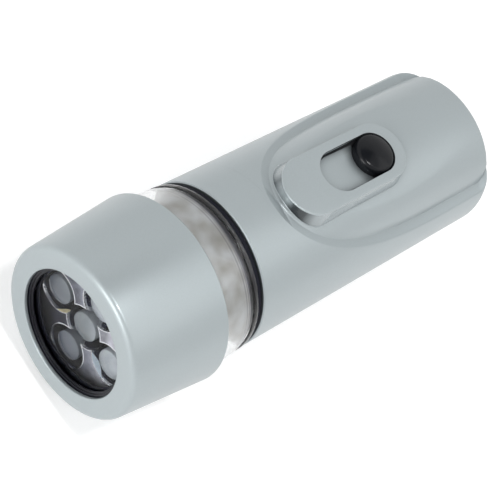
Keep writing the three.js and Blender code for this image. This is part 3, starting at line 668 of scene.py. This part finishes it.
def lathe(
    name, profile, slot, body, replaced=(), sides=ROUND, loop=False, centre=(0, 0), sharp=SHARP, look=None
):
    """A piece turned about the axis, or about a line beside it, from [x, radius] pairs."""
    rings = []
    for x, radius in profile:
        from_top = ring_points(centre[1], centre[0], radius, sides)
        rings.append([(x, y, z) for z, y in from_top])
    return piece(name, *strip(rings, loop), slot, body, replaced, sharp, look)


def rounded(outline, steps=CORNER_STEPS):
    """Rounds a closed outline, given by each corner's x, radius from the axis and size of its rounding."""
    made = []
    for i, (x, radius, size) in enumerate(outline):
        before, after = outline[i - 1][:2], outline[(i + 1) % len(outline)][:2]
        made += corner(before, (x, radius), after, size, steps) if size > 0 else [(x, radius)]
    return made


def corner(before, point, after, size, steps):
    """Points of the arc that rounds one corner."""
    p = Vector(point)
    a, b = Vector(before) - p, Vector(after) - p
    if a.length < NO_LENGTH or b.length < NO_LENGTH:
        return [tuple(point)]
    half = a.angle(b) / 2
    if half < STRAIGHT or half > math.pi / 2 - STRAIGHT:
        return [tuple(point)]
    reach = min(size / math.tan(half), a.length * SIDE_SHARE, b.length * SIDE_SHARE)
    size = reach * math.tan(half)
    a.normalize()
    b.normalize()
    middle = p + (a + b).normalized() * (size / math.sin(half))
    start, end = p + a * reach - middle, p + b * reach - middle
    turn = start.angle_signed(end)
    made = []
    for i in range(steps + 1):
        spin = Matrix.Rotation(-turn * i / steps, 2)
        made.append(tuple(middle + spin @ start))
    return made


def arc_points(radius, start, end, steps, middle=0.0):
    """Points across the torch on an arc whose centre lies at a height over the axis."""
    return [
        (radius * math.sin(t), middle + radius * math.cos(t))
        for t in (start + (end - start) * i / steps for i in range(steps + 1))
    ]


def within(point, limit):
    """The point, or its like on the limit's circle round the axis where it lies outside."""
    share = min(1.0, limit / math.hypot(*point))
    return (point[0] * share, point[1] * share)


# Handle
def body_radius(x):
    """Radius of the handle's round body."""
    if x < HANDLE_FRONT + BEVEL_X:
        return HANDLE_R - BEVEL_R * (HANDLE_FRONT + BEVEL_X - x) / BEVEL_X
    return HANDLE_R - TAIL_ROUND + rounded_end(x, TAIL_ROUND)


def rounded_end(x, size):
    """What is left at x of a quarter round of that size at the tail."""
    into = min(size, max(0.0, x - LENGTH + size))
    return math.sqrt(size * size - into * into)


def saddle_angle(x, tip, widest):
    """Half angle of the saddle's ellipse, in radians, which stays at its widest from the middle on."""
    share = min(1.0, max(0.0, (SADDLE_MIDDLE - x) / (SADDLE_MIDDLE - tip)))
    return math.radians(widest) * math.sqrt(1 - share * share)


def foot_radius(x):
    """Radius at the saddle's foot, where the ledge is lower than the body."""
    share = saddle_angle(x, SADDLE_START, SADDLE_ANGLE) / math.radians(SADDLE_ANGLE)
    return min(HANDLE_R - LEDGE_DROP * share * share, body_radius(x))


def saddle_arc(x):
    """Radius, middle height and half angle of the saddle's line across the handle."""
    foot = saddle_angle(x, SADDLE_TIP, FOOT_ANGLE)
    low = foot_radius(x)
    half, base = low * math.sin(foot), low * math.cos(foot)
    if half < SADDLE_NARROW:
        return low, 0.0, foot
    share = (x - SADDLE_TOP_X) / (SADDLE_TOP_X - SADDLE_TIP)
    rise = SADDLE_TOP - (SADDLE_TOP - HANDLE_R) * share * share - base
    radius = (half * half + rise * rise) / (2 * rise)
    middle = base + rise - radius
    return radius, middle, math.atan2(half, base - middle)


def tail_turn(x):
    """How far the saddle's foot turns in where it rounds the tail, in radians."""
    share = TAIL_TURN_SHARE * min(1.0, max(0.0, (x - LENGTH + TAIL_TURN) / TAIL_TURN))
    return math.radians(TAIL_TURN_ANGLE) * (1 - math.sqrt(1 - share * share))


def saddle_line(x):
    """Points of the saddle across the handle, drawn in and let down to the ledge at the tail."""
    radius, middle, spread = saddle_arc(x)
    made = arc_points(radius, -spread, spread, SADDLE_STEPS, middle)
    turn = tail_turn(x)
    if turn > 0:
        foot = math.radians(FOOT_ANGLE)
        low = foot_radius(x)
        depth = min(1.0, turn / math.radians(RIM_DROP_ANGLE))
        angles = [math.atan2(y, z) * (1 - turn / foot) for y, z in made]
        made = []
        for angle in angles:
            reach = middle * math.cos(angle) + math.sqrt(radius ** 2 - (middle * math.sin(angle)) ** 2)
            share = max(0.0, abs(angle) / (foot - turn) - RIM_DROP_START) / (1 - RIM_DROP_START)
            reach += (low - reach) * depth * share * share
            made.append((reach * math.sin(angle), reach * math.cos(angle)))
    limit = SADDLE_TAIL_TOP - SADDLE_TAIL_ROUND + rounded_end(x, SADDLE_TAIL_ROUND)
    return [within(p, limit) for p in made]


def saddle_height(x, y):
    """Height of the outer skin over a place near the boss."""
    radius, middle, _ = saddle_arc(x)
    crown = math.sqrt(SADDLE_TAIL_TOP ** 2 - y * y)
    return min(crown, middle + math.sqrt(max(0.0, radius * radius - y * y)))


def handle_ring(x):
    """The handle's outline at a place along it, starting at the left foot of the saddle."""
    outer = saddle_angle(x, SADDLE_START, SADDLE_ANGLE) - tail_turn(x)
    under = arc_points(body_radius(x), outer, 2 * math.pi - outer, UNDER_STEPS)
    ring = saddle_line(x) + under
    sizes = [0.0] * len(ring)
    sizes[0] = sizes[SADDLE_STEPS] = FOOT_SOFT
    sizes[SADDLE_STEPS + 1] = sizes[-1] = LEDGE_SOFT
    made = []
    for i, point in enumerate(ring):
        made += edge_arc(ring, i, sizes[i]) if sizes[i] else [point]
    return [(x, *p) for p in made]


def edge_arc(ring, i, size):
    """The rounding of one long edge of the handle, with the same count of points in every ring."""
    arc = corner(ring[i - 1], ring[i], ring[(i + 1) % len(ring)], size, EDGE_STEPS)
    return arc if len(arc) > 1 else arc * (EDGE_STEPS + 1)


def stations():
    """Places along the handle at which its outline is drawn, dense where the saddle starts."""
    places = [HANDLE_FRONT + BEVEL_X * i / BEVEL_STEPS for i in range(BEVEL_STEPS + 1)]
    places += FRONT_PLACES
    for i in (0, *range(TOO_NEAR_PLACES + 1, SADDLE_PLACES + 1)):
        share = 1 - math.cos(math.pi / 2 * i / SADDLE_PLACES)
        places.append(SADDLE_START + (SADDLE_MIDDLE - SADDLE_START) * share)
    places += REAR_PLACES
    for i in range(TAIL_PLACES + 1):
        places.append(LENGTH - SADDLE_TAIL_ROUND * (1 - math.sin(math.pi / 2 * i / TAIL_PLACES)))
    return places


def handle_skin():
    """Outer skin, tail and bore as one closed skin, with the ledge in a darker paint as painted shade."""
    rings = [handle_ring(x) for x in stations()]
    angles = [math.atan2(y, z) for _, y, z in rings[0]]

    def plain(x, radius):
        return [(x, radius * math.sin(a), radius * math.cos(a)) for a in angles]

    inner = [[(BORE_END, 0, 0)], plain(BORE_END, BORE), plain(COUNTER_END, BORE)]
    inner += [plain(COUNTER_END, COUNTER_R), plain(HANDLE_FRONT, COUNTER_R)]
    end = []
    for _, y, z in rings[-1]:
        share = TAIL_FLAT_R / math.hypot(y, z)
        end.append((LENGTH, y * share, z * share))
    points, faces = strip(inner + rings + [end, [(LENGTH, 0, 0)]])
    made = piece("handle_skin", points, faces, "silver_paint", "handle", ("handle_shell",))
    made.data.materials.append(MATERIALS["ledge_paint_painted_shade"])
    # Faces on the ledge take the darker paint, which is painted shade
    for face in made.data.polygons:
        face.material_index = int(is_ledge(face.center))
    return made


def is_ledge(place):
    """True for a place in the row frame on the sloping step along the saddle's foot."""
    x = (place.x - FRONT_X) / MM
    if not SADDLE_START < x < LENGTH - LEDGE_SPARE:
        return False
    angle = math.atan2(abs(place.y), place.z - AXIS_Z) + tail_turn(x)
    inner = saddle_angle(x, SADDLE_TIP, FOOT_ANGLE)
    return inner < angle < saddle_angle(x, SADDLE_START, SADDLE_ANGLE)


def pill(front, rear, radius, z):
    """Outline of a pill along X at one height, with points along its two straight sides."""
    ends = []
    for centre, start in ((front, math.pi / 2), (rear, -math.pi / 2)):
        turns = [start + math.pi * i / PILL_STEPS for i in range(PILL_STEPS + 1)]
        ends.append([(centre + radius * math.cos(t), radius * math.sin(t), z) for t in turns])
    first, second = ends
    return first + between(first[-1], second[0]) + second + between(second[-1], first[0])


def between(a, b):
    """Points along a pill's straight side, without its two ends."""
    parts = PILL_SIDE_STEPS + 1
    return [tuple(p + (q - p) * i / parts for p, q in zip(a, b)) for i in range(1, parts)]


def cut_track(skin):
    """Opens the skin under the boss, where the switch runs."""
    top = BOSS_TOP + CUT_OVER
    low = pill(BOSS_FRONT, BOSS_REAR, TRACK_R, TRACK_FLOOR)
    high = pill(BOSS_FRONT, BOSS_REAR, TRACK_R, top)
    points, faces = strip([[(TRACK_MIDDLE, 0, TRACK_FLOOR)], low, high, [(TRACK_MIDDLE, 0, top)]])
    cutter = mesh_object("track", [at(*p) for p in points], faces)
    clean(cutter.data, SHARP)
    made = skin.modifiers.new("track", "BOOLEAN")
    made.operation, made.solver, made.object = "DIFFERENCE", "EXACT", cutter
    bpy.context.view_layer.update()
    graph = bpy.context.evaluated_depsgraph_get()
    result = bpy.data.meshes.new_from_object(skin.evaluated_get(graph))
    skin.modifiers.clear()
    skin.data = result
    bpy.data.objects.remove(cutter)


# Boss, slot and knob
def boss_radius(z):
    """Radius of the boss's drafted wall at a height."""
    return BOSS_R + BOSS_SLOPE * (BOSS_TOP - z)


def boss_round():
    """Centre and outward direction of each point round the boss."""
    for x, y, _ in pill(BOSS_FRONT, BOSS_REAR, 1.0, 0.0):
        centre = min(max(x, BOSS_FRONT), BOSS_REAR)
        yield centre, Vector((x - centre, y)).normalized()


def boss_foot_height(centre, out):
    """Height at which the boss's wall meets the saddle."""
    z = FOOT_GUESS
    for _ in range(FOOT_TRIES):
        radius = boss_radius(z)
        z = saddle_height(centre + out.x * radius, out.y * radius)
    return z


def boss_wall(share):
    """A ring of the boss's outer wall: 0 at the top edge, 1 where the fillet starts."""
    ring = []
    top = BOSS_TOP - BOSS_RIM
    for centre, out in boss_round():
        foot = boss_foot_height(centre, out) + BOSS_FILLET
        z = top + (foot - top) * share
        radius = boss_radius(z)
        ring.append((centre + out.x * radius, out.y * radius, z))
    return ring


def boss_fillet(share):
    """A ring of the fillet between the boss's wall and the saddle."""
    ring = []
    turn = math.pi / 2 * share
    for centre, out in boss_round():
        start = boss_foot_height(centre, out) + BOSS_FILLET
        radius = boss_radius(start) + BOSS_FILLET * (1 - math.cos(turn))
        x, y = centre + out.x * radius, out.y * radius
        ground = saddle_height(x, y)
        rise = (start - ground) * (1 - math.sin(turn))
        ring.append((x, y, ground + rise - BOSS_FILLET_SINK * share))
    return ring


def boss_piece(name, rings, look=None):
    """A skin over rings of the boss or the slot."""
    piece(name, *strip(rings), "silver_paint", "handle", sharp=BOSS_SHARP, look=look)


def boss():
    """Boss with its drafted wall, fillet at the foot and rounded rim, and the slot with a black line of
    painted shade.
    """
    foot = [boss_fillet(i / BOSS_STEPS) for i in range(BOSS_STEPS, 0, -1)]
    wall = [boss_wall(share) for share in BOSS_WALL_SHARES]
    rim = []
    for i in range(1, BOSS_STEPS + 1):
        t = math.pi / 2 * i / BOSS_STEPS
        radius = BOSS_R + BOSS_RIM_OUT - BOSS_RIM * (1 - math.cos(t))
        rim.append(pill(BOSS_FRONT, BOSS_REAR, radius, BOSS_TOP - BOSS_RIM * (1 - math.sin(t))))
    top = pill(SLOT_FRONT, SLOT_REAR, SLOT_R + SLOT_SHADE_LINE, BOSS_TOP)
    boss_piece("boss_foot", foot + wall[:1])
    boss_piece("boss_wall", wall, "boss_gloss_painted_reflection")
    boss_piece("boss", [wall[-1], *rim, top])
    edge = pill(SLOT_FRONT, SLOT_REAR, SLOT_R, BOSS_TOP - SLOT_SHADE_LINE_DEPTH)
    slot_end = pill(SLOT_FRONT, SLOT_REAR, SLOT_R, TRACK_TOP)
    low = pill(BOSS_FRONT, BOSS_REAR, TRACK_R - TRACK_SKIN_GAP, TRACK_TOP)
    under = pill(BOSS_FRONT, BOSS_REAR, TRACK_R - TRACK_SKIN_GAP, TRACK_TOP - TRACK_SKIN)
    boss_piece("slot_wall", [edge, slot_end, low, under])
    # A thin black line round the slot's edge, which is painted shade
    boss_piece("slot_painted_shade_line", [top, edge], "black_plastic")


def knob():
    """The black knob: straight side, rounded rim, low dome. Turned about Z."""
    profile = [(0.0, KNOB_LOW), (KNOB_R, KNOB_LOW), (KNOB_R, KNOB_EDGE_Z - KNOB_SIDE_GAP)]
    for i in range(KNOB_STEPS + 1):
        t = math.radians(KNOB_EDGE_TURN) * i / KNOB_STEPS
        profile.append((KNOB_R - KNOB_EDGE + KNOB_EDGE * math.cos(t), KNOB_EDGE_Z + KNOB_EDGE * math.sin(t)))
    edge_r, edge_z = profile[-1]
    for i in range(1, KNOB_STEPS + 1):
        radius = edge_r * (1 - i / KNOB_STEPS)
        profile.append((radius, KNOB_TOP - (KNOB_TOP - edge_z) * (radius / edge_r) ** 2))
    rings = [[(*p, z) for p in ring_points(SLOT_REAR, 0, radius, KNOB_SIDES)] for radius, z in profile]
    piece("knob", *strip(rings), "black_gloss", "switch", ("switch_knob",))


# Head
def head():
    """The silver head: rounded front rim, cone, near sharp rear edge and the seat of the clear ring."""
    outline = rounded([
        (0.0, WINDOW_R, 0.3),
        (0.0, HEAD_FRONT_R, 1.5),
        (HEAD_END, HEAD_REAR_R, 0.4),
        (HEAD_END, HEAD_SEAT_R, 0.15),
        (HEAD_SEAT_X, HEAD_SEAT_R, 0),
        (HEAD_BORE_END, HEAD_BORE, 0),
        (HEAD_LIP, HEAD_BORE, 0),
        (HEAD_LIP, WINDOW_R, 0.1),
    ], HEAD_STEPS)
    lathe("head", outline, "silver_paint", "head", ("head_shell",), loop=True)


def window():
    """Black stepped ring, clear lens and the seal behind it."""
    ring = rounded([
        (BEZEL_X, BEZEL_R, 0.12),
        (BEZEL_STEP_X, BEZEL_R, 0.08),
        (BEZEL_STEP_X, BEZEL_STEP_R, 0.1),
        (BEZEL_END, BEZEL_STEP_R, 0.05),
        (BEZEL_END, OPTICS_R, 0),
        (BEZEL_X, OPTICS_R, 0),
    ])
    lathe("window_ring", ring, "black_gloss", "head", ("window_bezel",), loop=True, look="ring_gloss")
    disc = [(LENS_X, 0), (LENS_X, OPTICS_R), (LENS_END, OPTICS_R), (LENS_END, 0)]
    lathe("lens", disc, "clear_plastic", "head", ("front_lens",), look="coated_glass")
    seal = [(SEAL_X, SEAL_R), (SEAL_END, SEAL_R), (SEAL_END, OPTICS_R), (SEAL_X, OPTICS_R)]
    seal = rounded([(x, radius, SEAL_SOFT) for x, radius in seal])
    lathe("seal", seal, "black_rubber", "head", ("lens_seal",), loop=True)


def cup_places():
    """Places of the cups across the torch: one on the axis and four round it."""
    turns = [math.pi / 2 * i for i in range(4)]
    return [(0.0, 0.0)] + [(-CUP_RING * math.sin(t), CUP_RING * math.cos(t)) for t in turns]


def cup_depth(radius):
    """How far a cup's wall lies behind the rim: a paraboloid with a softly rounded mouth."""
    span = CUP_MOUTH ** 2 - CUP_THROAT ** 2
    start = CUP_MOUTH - CUP_LIP_START
    if radius < start:
        return CUP_DEPTH * (CUP_MOUTH ** 2 - radius ** 2) / span
    reach = CUP_OPENING - start
    t = min(1.0, (radius - start) / reach)
    edge = CUP_DEPTH * (CUP_MOUTH ** 2 - start ** 2) / span
    slope = -2 * start * CUP_DEPTH / span
    return edge * (1 + 2 * t) * (1 - t) ** 2 + slope * reach * t * (1 - t) ** 2


def cup_reach(y, z, turn):
    """Distance from a cup's axis to its mouth, or to the ridge where it meets the next cup."""
    reach = CUP_OPENING
    for other_y, other_z in cup_places():
        gap = math.hypot(other_y - y, other_z - z)
        if 0 < gap < NEXT_CUP_SHARE * CUP_RING:
            toward = (math.cos(turn) * (other_y - y) + math.sin(turn) * (other_z - z)) / gap
            if toward > 0:
                reach = min(reach, gap / 2 / toward)
    return reach


def cup(name, y, z):
    """One mirroring cup, dark as painted shade, from its throat out, and its lip with a painted highlight at
    the mouth and ridges.
    """
    throat = ring_points(y, z, CUP_THROAT, CUP_SIDES)
    rings = [[(REFLECTOR_X + CUP_DEPTH + CUP_TAIL, *p) for p in throat]]
    for i in range(CUP_STEPS + 1):
        share = i / CUP_STEPS
        ring = []
        for t in CUP_TURNS:
            radius = CUP_THROAT + (cup_reach(y, z, t) - CUP_THROAT) * share
            ring.append((REFLECTOR_X + cup_depth(radius), y + radius * math.cos(t), z + radius * math.sin(t)))
        rings.append(ring)
    # The cup's dark chrome colour is painted shade; its lip's bright chrome is a painted highlight
    piece(name, *strip(rings[:-LIP_RINGS]), "chrome", "head", sharp=CUP_SHARP)
    lip = strip(rings[-LIP_RINGS - 1:])
    piece(f"{name}_lip", *lip, "chrome", "head", sharp=CUP_SHARP, look="lip_painted_highlight")


def glint(name, y, z, start, end, width):
    """A painted glint: a pale sickle for mirrored light inside a cup's lip, between two turns in degrees."""
    points, faces = [], []
    for i in range(GLINT_STEPS + 1):
        turn = math.radians(start + (end - start) * i / GLINT_STEPS)
        breadth = GLINT_TIP + width * math.sin(math.pi * i / GLINT_STEPS)
        for j in range(GLINT_ROWS):
            wall = CUP_MOUTH - breadth * j / (GLINT_ROWS - 1)
            radius = wall - GLINT_LIFT
            x = REFLECTOR_X + cup_depth(wall) - GLINT_LIFT
            points.append((x, y + radius * math.cos(turn), z + radius * math.sin(turn)))
    for i in range(GLINT_STEPS):
        for j in range(GLINT_ROWS - 1):
            a = i * GLINT_ROWS + j
            faces.append((a, a + 1, a + GLINT_ROWS + 1, a + GLINT_ROWS))
    piece(name, points, faces, "chrome", "head", look=name)


def reflector():
    """The flat web with five round openings, a cup behind each, and a painted glint in two of the cups."""
    rim = ring_points(0, 0, OPTICS_R, CUP_SIDES)
    holes = [ring_points(y, z, CUP_OPENING, CUP_SIDES) for y, z in cup_places()]
    points, edges = [], []
    for loop in [rim, *holes]:
        first, count = len(points), len(loop)
        edges += [(first + i, first + (i + 1) % count) for i in range(count)]
        points += loop
    made = geometry.delaunay_2d_cdt([Vector(p) for p in points], edges, [], 0, WEB_MERGE)
    flat, faces = made[0], made[2]
    kept = [f for f in faces if clear_of_cups([flat[i] for i in f])]
    web = [(REFLECTOR_X, *p) for p in flat]
    piece("reflector_web", web, kept, "chrome", "head", ("reflector",), look="web_chrome")
    for i, (y, z) in enumerate(cup_places()):
        cup(f"cup_{i}", y, z)
    glint("cold_glint", -CUP_RING, 0.0, start=-100, end=-30, width=0.26)
    glint("warm_glint", CUP_RING, 0.0, start=-174, end=-120, width=0.24)


def clear_of_cups(triangle):
    """True for a triangle of the web, whose middle isn't in an opening."""
    y = sum(p[0] for p in triangle) / len(triangle)
    z = sum(p[1] for p in triangle) / len(triangle)
    inside = any(math.hypot(y - a, z - b) < CUP_OPENING * OPENING_SHARE for a, b in cup_places())
    return not inside and math.hypot(y, z) < OPTICS_R


def led(name, place):
    """Milky shallow cap at the web, on a body that narrows to the foot in the throat, with its chip."""
    profile = [
        (LED_BASE, 0),
        (LED_BASE, LED_FLANGE_R),
        (LED_BASE - LED_FLANGE, LED_FLANGE_R),
        (LED_BASE - LED_FLANGE, LED_FOOT_R),
        (LED_NECK, LED_FOOT_R),
        (LED_EDGE + LED_SHOULDER, LED_R),
        (LED_EDGE + LED_RIM, LED_R),
    ]
    for i in range(LED_CAP_STEPS + 1):
        share = 1 - i / LED_CAP_STEPS
        profile.append((LED_TIP + (LED_EDGE - LED_TIP) * share * share, (LED_R - LED_RIM_IN) * share))
    dome = f"{name}_dome"
    lathe(dome, profile, "led_lens", "head", (name,), LED_SIDES, centre=place, sharp=CUP_SHARP)
    chip = [(CHIP_REAR, 0), (CHIP_REAR, CHIP_REAR_R), (CHIP_RIM, CHIP_RIM_R), (CHIP_FRONT, 0)]
    lathe(f"{name}_chip", chip, "led_lens", "head", (), CHIP_SIDES, centre=place, look="phosphor")


def leds():
    """The five lamps, in the order of their cups."""
    names = ["led_centre", "led_upper", "led_right", "led_lower", "led_left"]
    for name, place in zip(names, cup_places()):
        led(name, place)


# Between head and handle
def clear_ring():
    """Clear ring: seat in the head, cone, groove and the flange before the handle."""
    outline = rounded([
        (RING_FRONT, RING_BORE, 0.1),
        (RING_FRONT, RING_SEAT_R, 0.1),
        (RING_STEP_X, RING_SEAT_R, 0.1),
        (RING_STEP_X, RING_STEP_R, 0.3),
        (RING_GROOVE_X, RING_GROOVE_EDGE_R, 0.3),
        (RING_GROOVE_X, RING_GROOVE_R, 0.1),
        (RING_GROOVE_END, RING_GROOVE_R, 0.1),
        (RING_GROOVE_END, RING_FLANGE_R, 0.25),
        (RING_REAR, RING_FLANGE_R, 0.3),
        (RING_REAR, RING_BORE, 0.1),
    ])
    lathe("clear_band", outline, "clear_plastic", "head", ("clear_ring",), loop=True)


def sleeve():
    """Smooth cover of the carrier's ribs, as it shows through the clear ring."""
    outline = [
        (SLEEVE_FRONT, SLEEVE_LOW_R),
        (SLEEVE_FRONT, SLEEVE_R),
        (SLEEVE_REAR, SLEEVE_R),
        (SLEEVE_REAR, SLEEVE_LOW_R),
    ]
    lathe("carrier_sleeve", outline, "ivory_plastic", "head", loop=True, look="frosted")


def gasket():
    """Rubber ring with a lip that reaches forward under the clear ring."""
    outline = rounded([
        (GASKET_LIP_X, GASKET_BORE, 0.1),
        (GASKET_LIP_X, GASKET_LIP_R, 0.2),
        (GASKET_FRONT, GASKET_LIP_R, 0.1),
        (GASKET_FRONT, GASKET_R, 0.5),
        (GASKET_REAR, GASKET_R, 0.5),
        (GASKET_REAR, GASKET_BORE, 0.1),
    ])
    lathe("gasket", outline, "black_rubber", "seal", ("ring_gasket",), loop=True)


# Looks of the CAD pieces that are shown as they are
def dress_frame(frame):
    """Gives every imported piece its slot's material and the same smooth shading."""
    for row in frame["record"]["subparts"]:
        mesh = frame["nodes"][row["node"]].data
        mesh.materials.clear()
        mesh.materials.append(MATERIALS[row["material_slot"]])
        mesh.shade_smooth()
        mesh.set_sharp_from_angle(angle=math.radians(FRAME_SHARP))


# Stage
def floor_material():
    """A pale matt table, white to the camera and in gloss and glass, with the shadow kept."""
    made = shader("floor", (TABLE_TONE, TABLE_TONE, TABLE_TONE), TABLE_ROUGHNESS)
    path = made.node_tree.nodes.new("ShaderNodeLightPath")
    mirrored = paired(made, "MAXIMUM", path.outputs["Is Glossy Ray"], path.outputs["Is Transmission Ray"])
    gloss = paired(made, "MULTIPLY", mirrored, GLOSS_LIFT)
    seen = paired(made, "MULTIPLY", path.outputs["Is Camera Ray"], SEEN_LIFT)
    socket(made, "Emission Color").default_value = (*WHITE, 1)
    link(made, paired(made, "MAXIMUM", gloss, seen), socket(made, "Emission Strength"))
    return made


def floor():
    """The table under the torch."""
    half = TABLE_HALF
    points = [(-half, -half, 0), (half, -half, 0), (half, half, 0), (-half, half, 0)]
    made = mesh_object("floor", points, [(0, 1, 2, 3)])
    made.data.materials.append(floor_material())


def area(name, way, side, power):
    """A square lamp that stands off the torch in a direction and shines on it."""
    light = bpy.data.lights.new(name, "AREA")
    light.shape = "SQUARE"
    light.size = side
    light.energy = power
    made = bpy.data.objects.new(name, light)
    made.location = Vector(way) * LAMP_DISTANCE
    made.rotation_mode = "QUATERNION"
    made.rotation_quaternion = (Vector(LAMP_AIM) - made.location).to_track_quat("-Z", "Y")
    bpy.context.collection.objects.link(made)


def lights():
    """Soft studio: bright walls, and lamps over the tail's near side, before the window and overhead."""
    world = bpy.data.worlds.new("studio")
    bpy.context.scene.world = world
    world.use_nodes = True
    tree = world.node_tree
    background = tree.nodes["Background"]
    place = tree.nodes.new("ShaderNodeTexCoord")
    split = tree.nodes.new("ShaderNodeSeparateXYZ")
    ramp = tree.nodes.new("ShaderNodeValToRGB")
    ramp.color_ramp.interpolation = "CONSTANT"
    ramp.color_ramp.elements[0].color = (*WALL_LIGHT, 1)
    ramp.color_ramp.elements[1].position = WALL_END
    ramp.color_ramp.elements[1].color = (*CEILING_LIGHT, 1)
    tree.links.new(place.outputs["Generated"], split.inputs["Vector"])
    tree.links.new(split.outputs["Z"], ramp.inputs["Fac"])
    tree.links.new(ramp.outputs["Color"], background.inputs["Color"])
    background.inputs["Strength"].default_value = 1.0
    for name, (way, side, power) in LAMPS.items():
        area(name, way, side, power)


def camera():
    data = bpy.data.cameras.new("camera")
    data.sensor_width = SENSOR
    data.lens = LENS
    data.clip_start = CLIP_START
    made = bpy.data.objects.new("camera", data)
    made.matrix_world = Matrix(CAMERA)
    bpy.context.collection.objects.link(made)
    bpy.context.scene.camera = made


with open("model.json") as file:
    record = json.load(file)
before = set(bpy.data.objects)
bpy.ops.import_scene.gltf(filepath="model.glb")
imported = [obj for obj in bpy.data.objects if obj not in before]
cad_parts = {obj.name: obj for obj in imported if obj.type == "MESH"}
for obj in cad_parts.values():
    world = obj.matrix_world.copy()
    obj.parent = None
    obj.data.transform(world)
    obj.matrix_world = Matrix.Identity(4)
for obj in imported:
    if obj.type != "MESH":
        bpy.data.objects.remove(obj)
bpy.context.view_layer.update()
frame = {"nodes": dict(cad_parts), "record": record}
MATERIALS = make_materials()
dress_frame(frame)
cut_track(handle_skin())
boss()
knob()
head()
window()
reflector()
leds()
clear_ring()
sleeve()
gasket()
floor()
lights()
camera()
bpy.context.scene.view_settings.view_transform = "Standard"
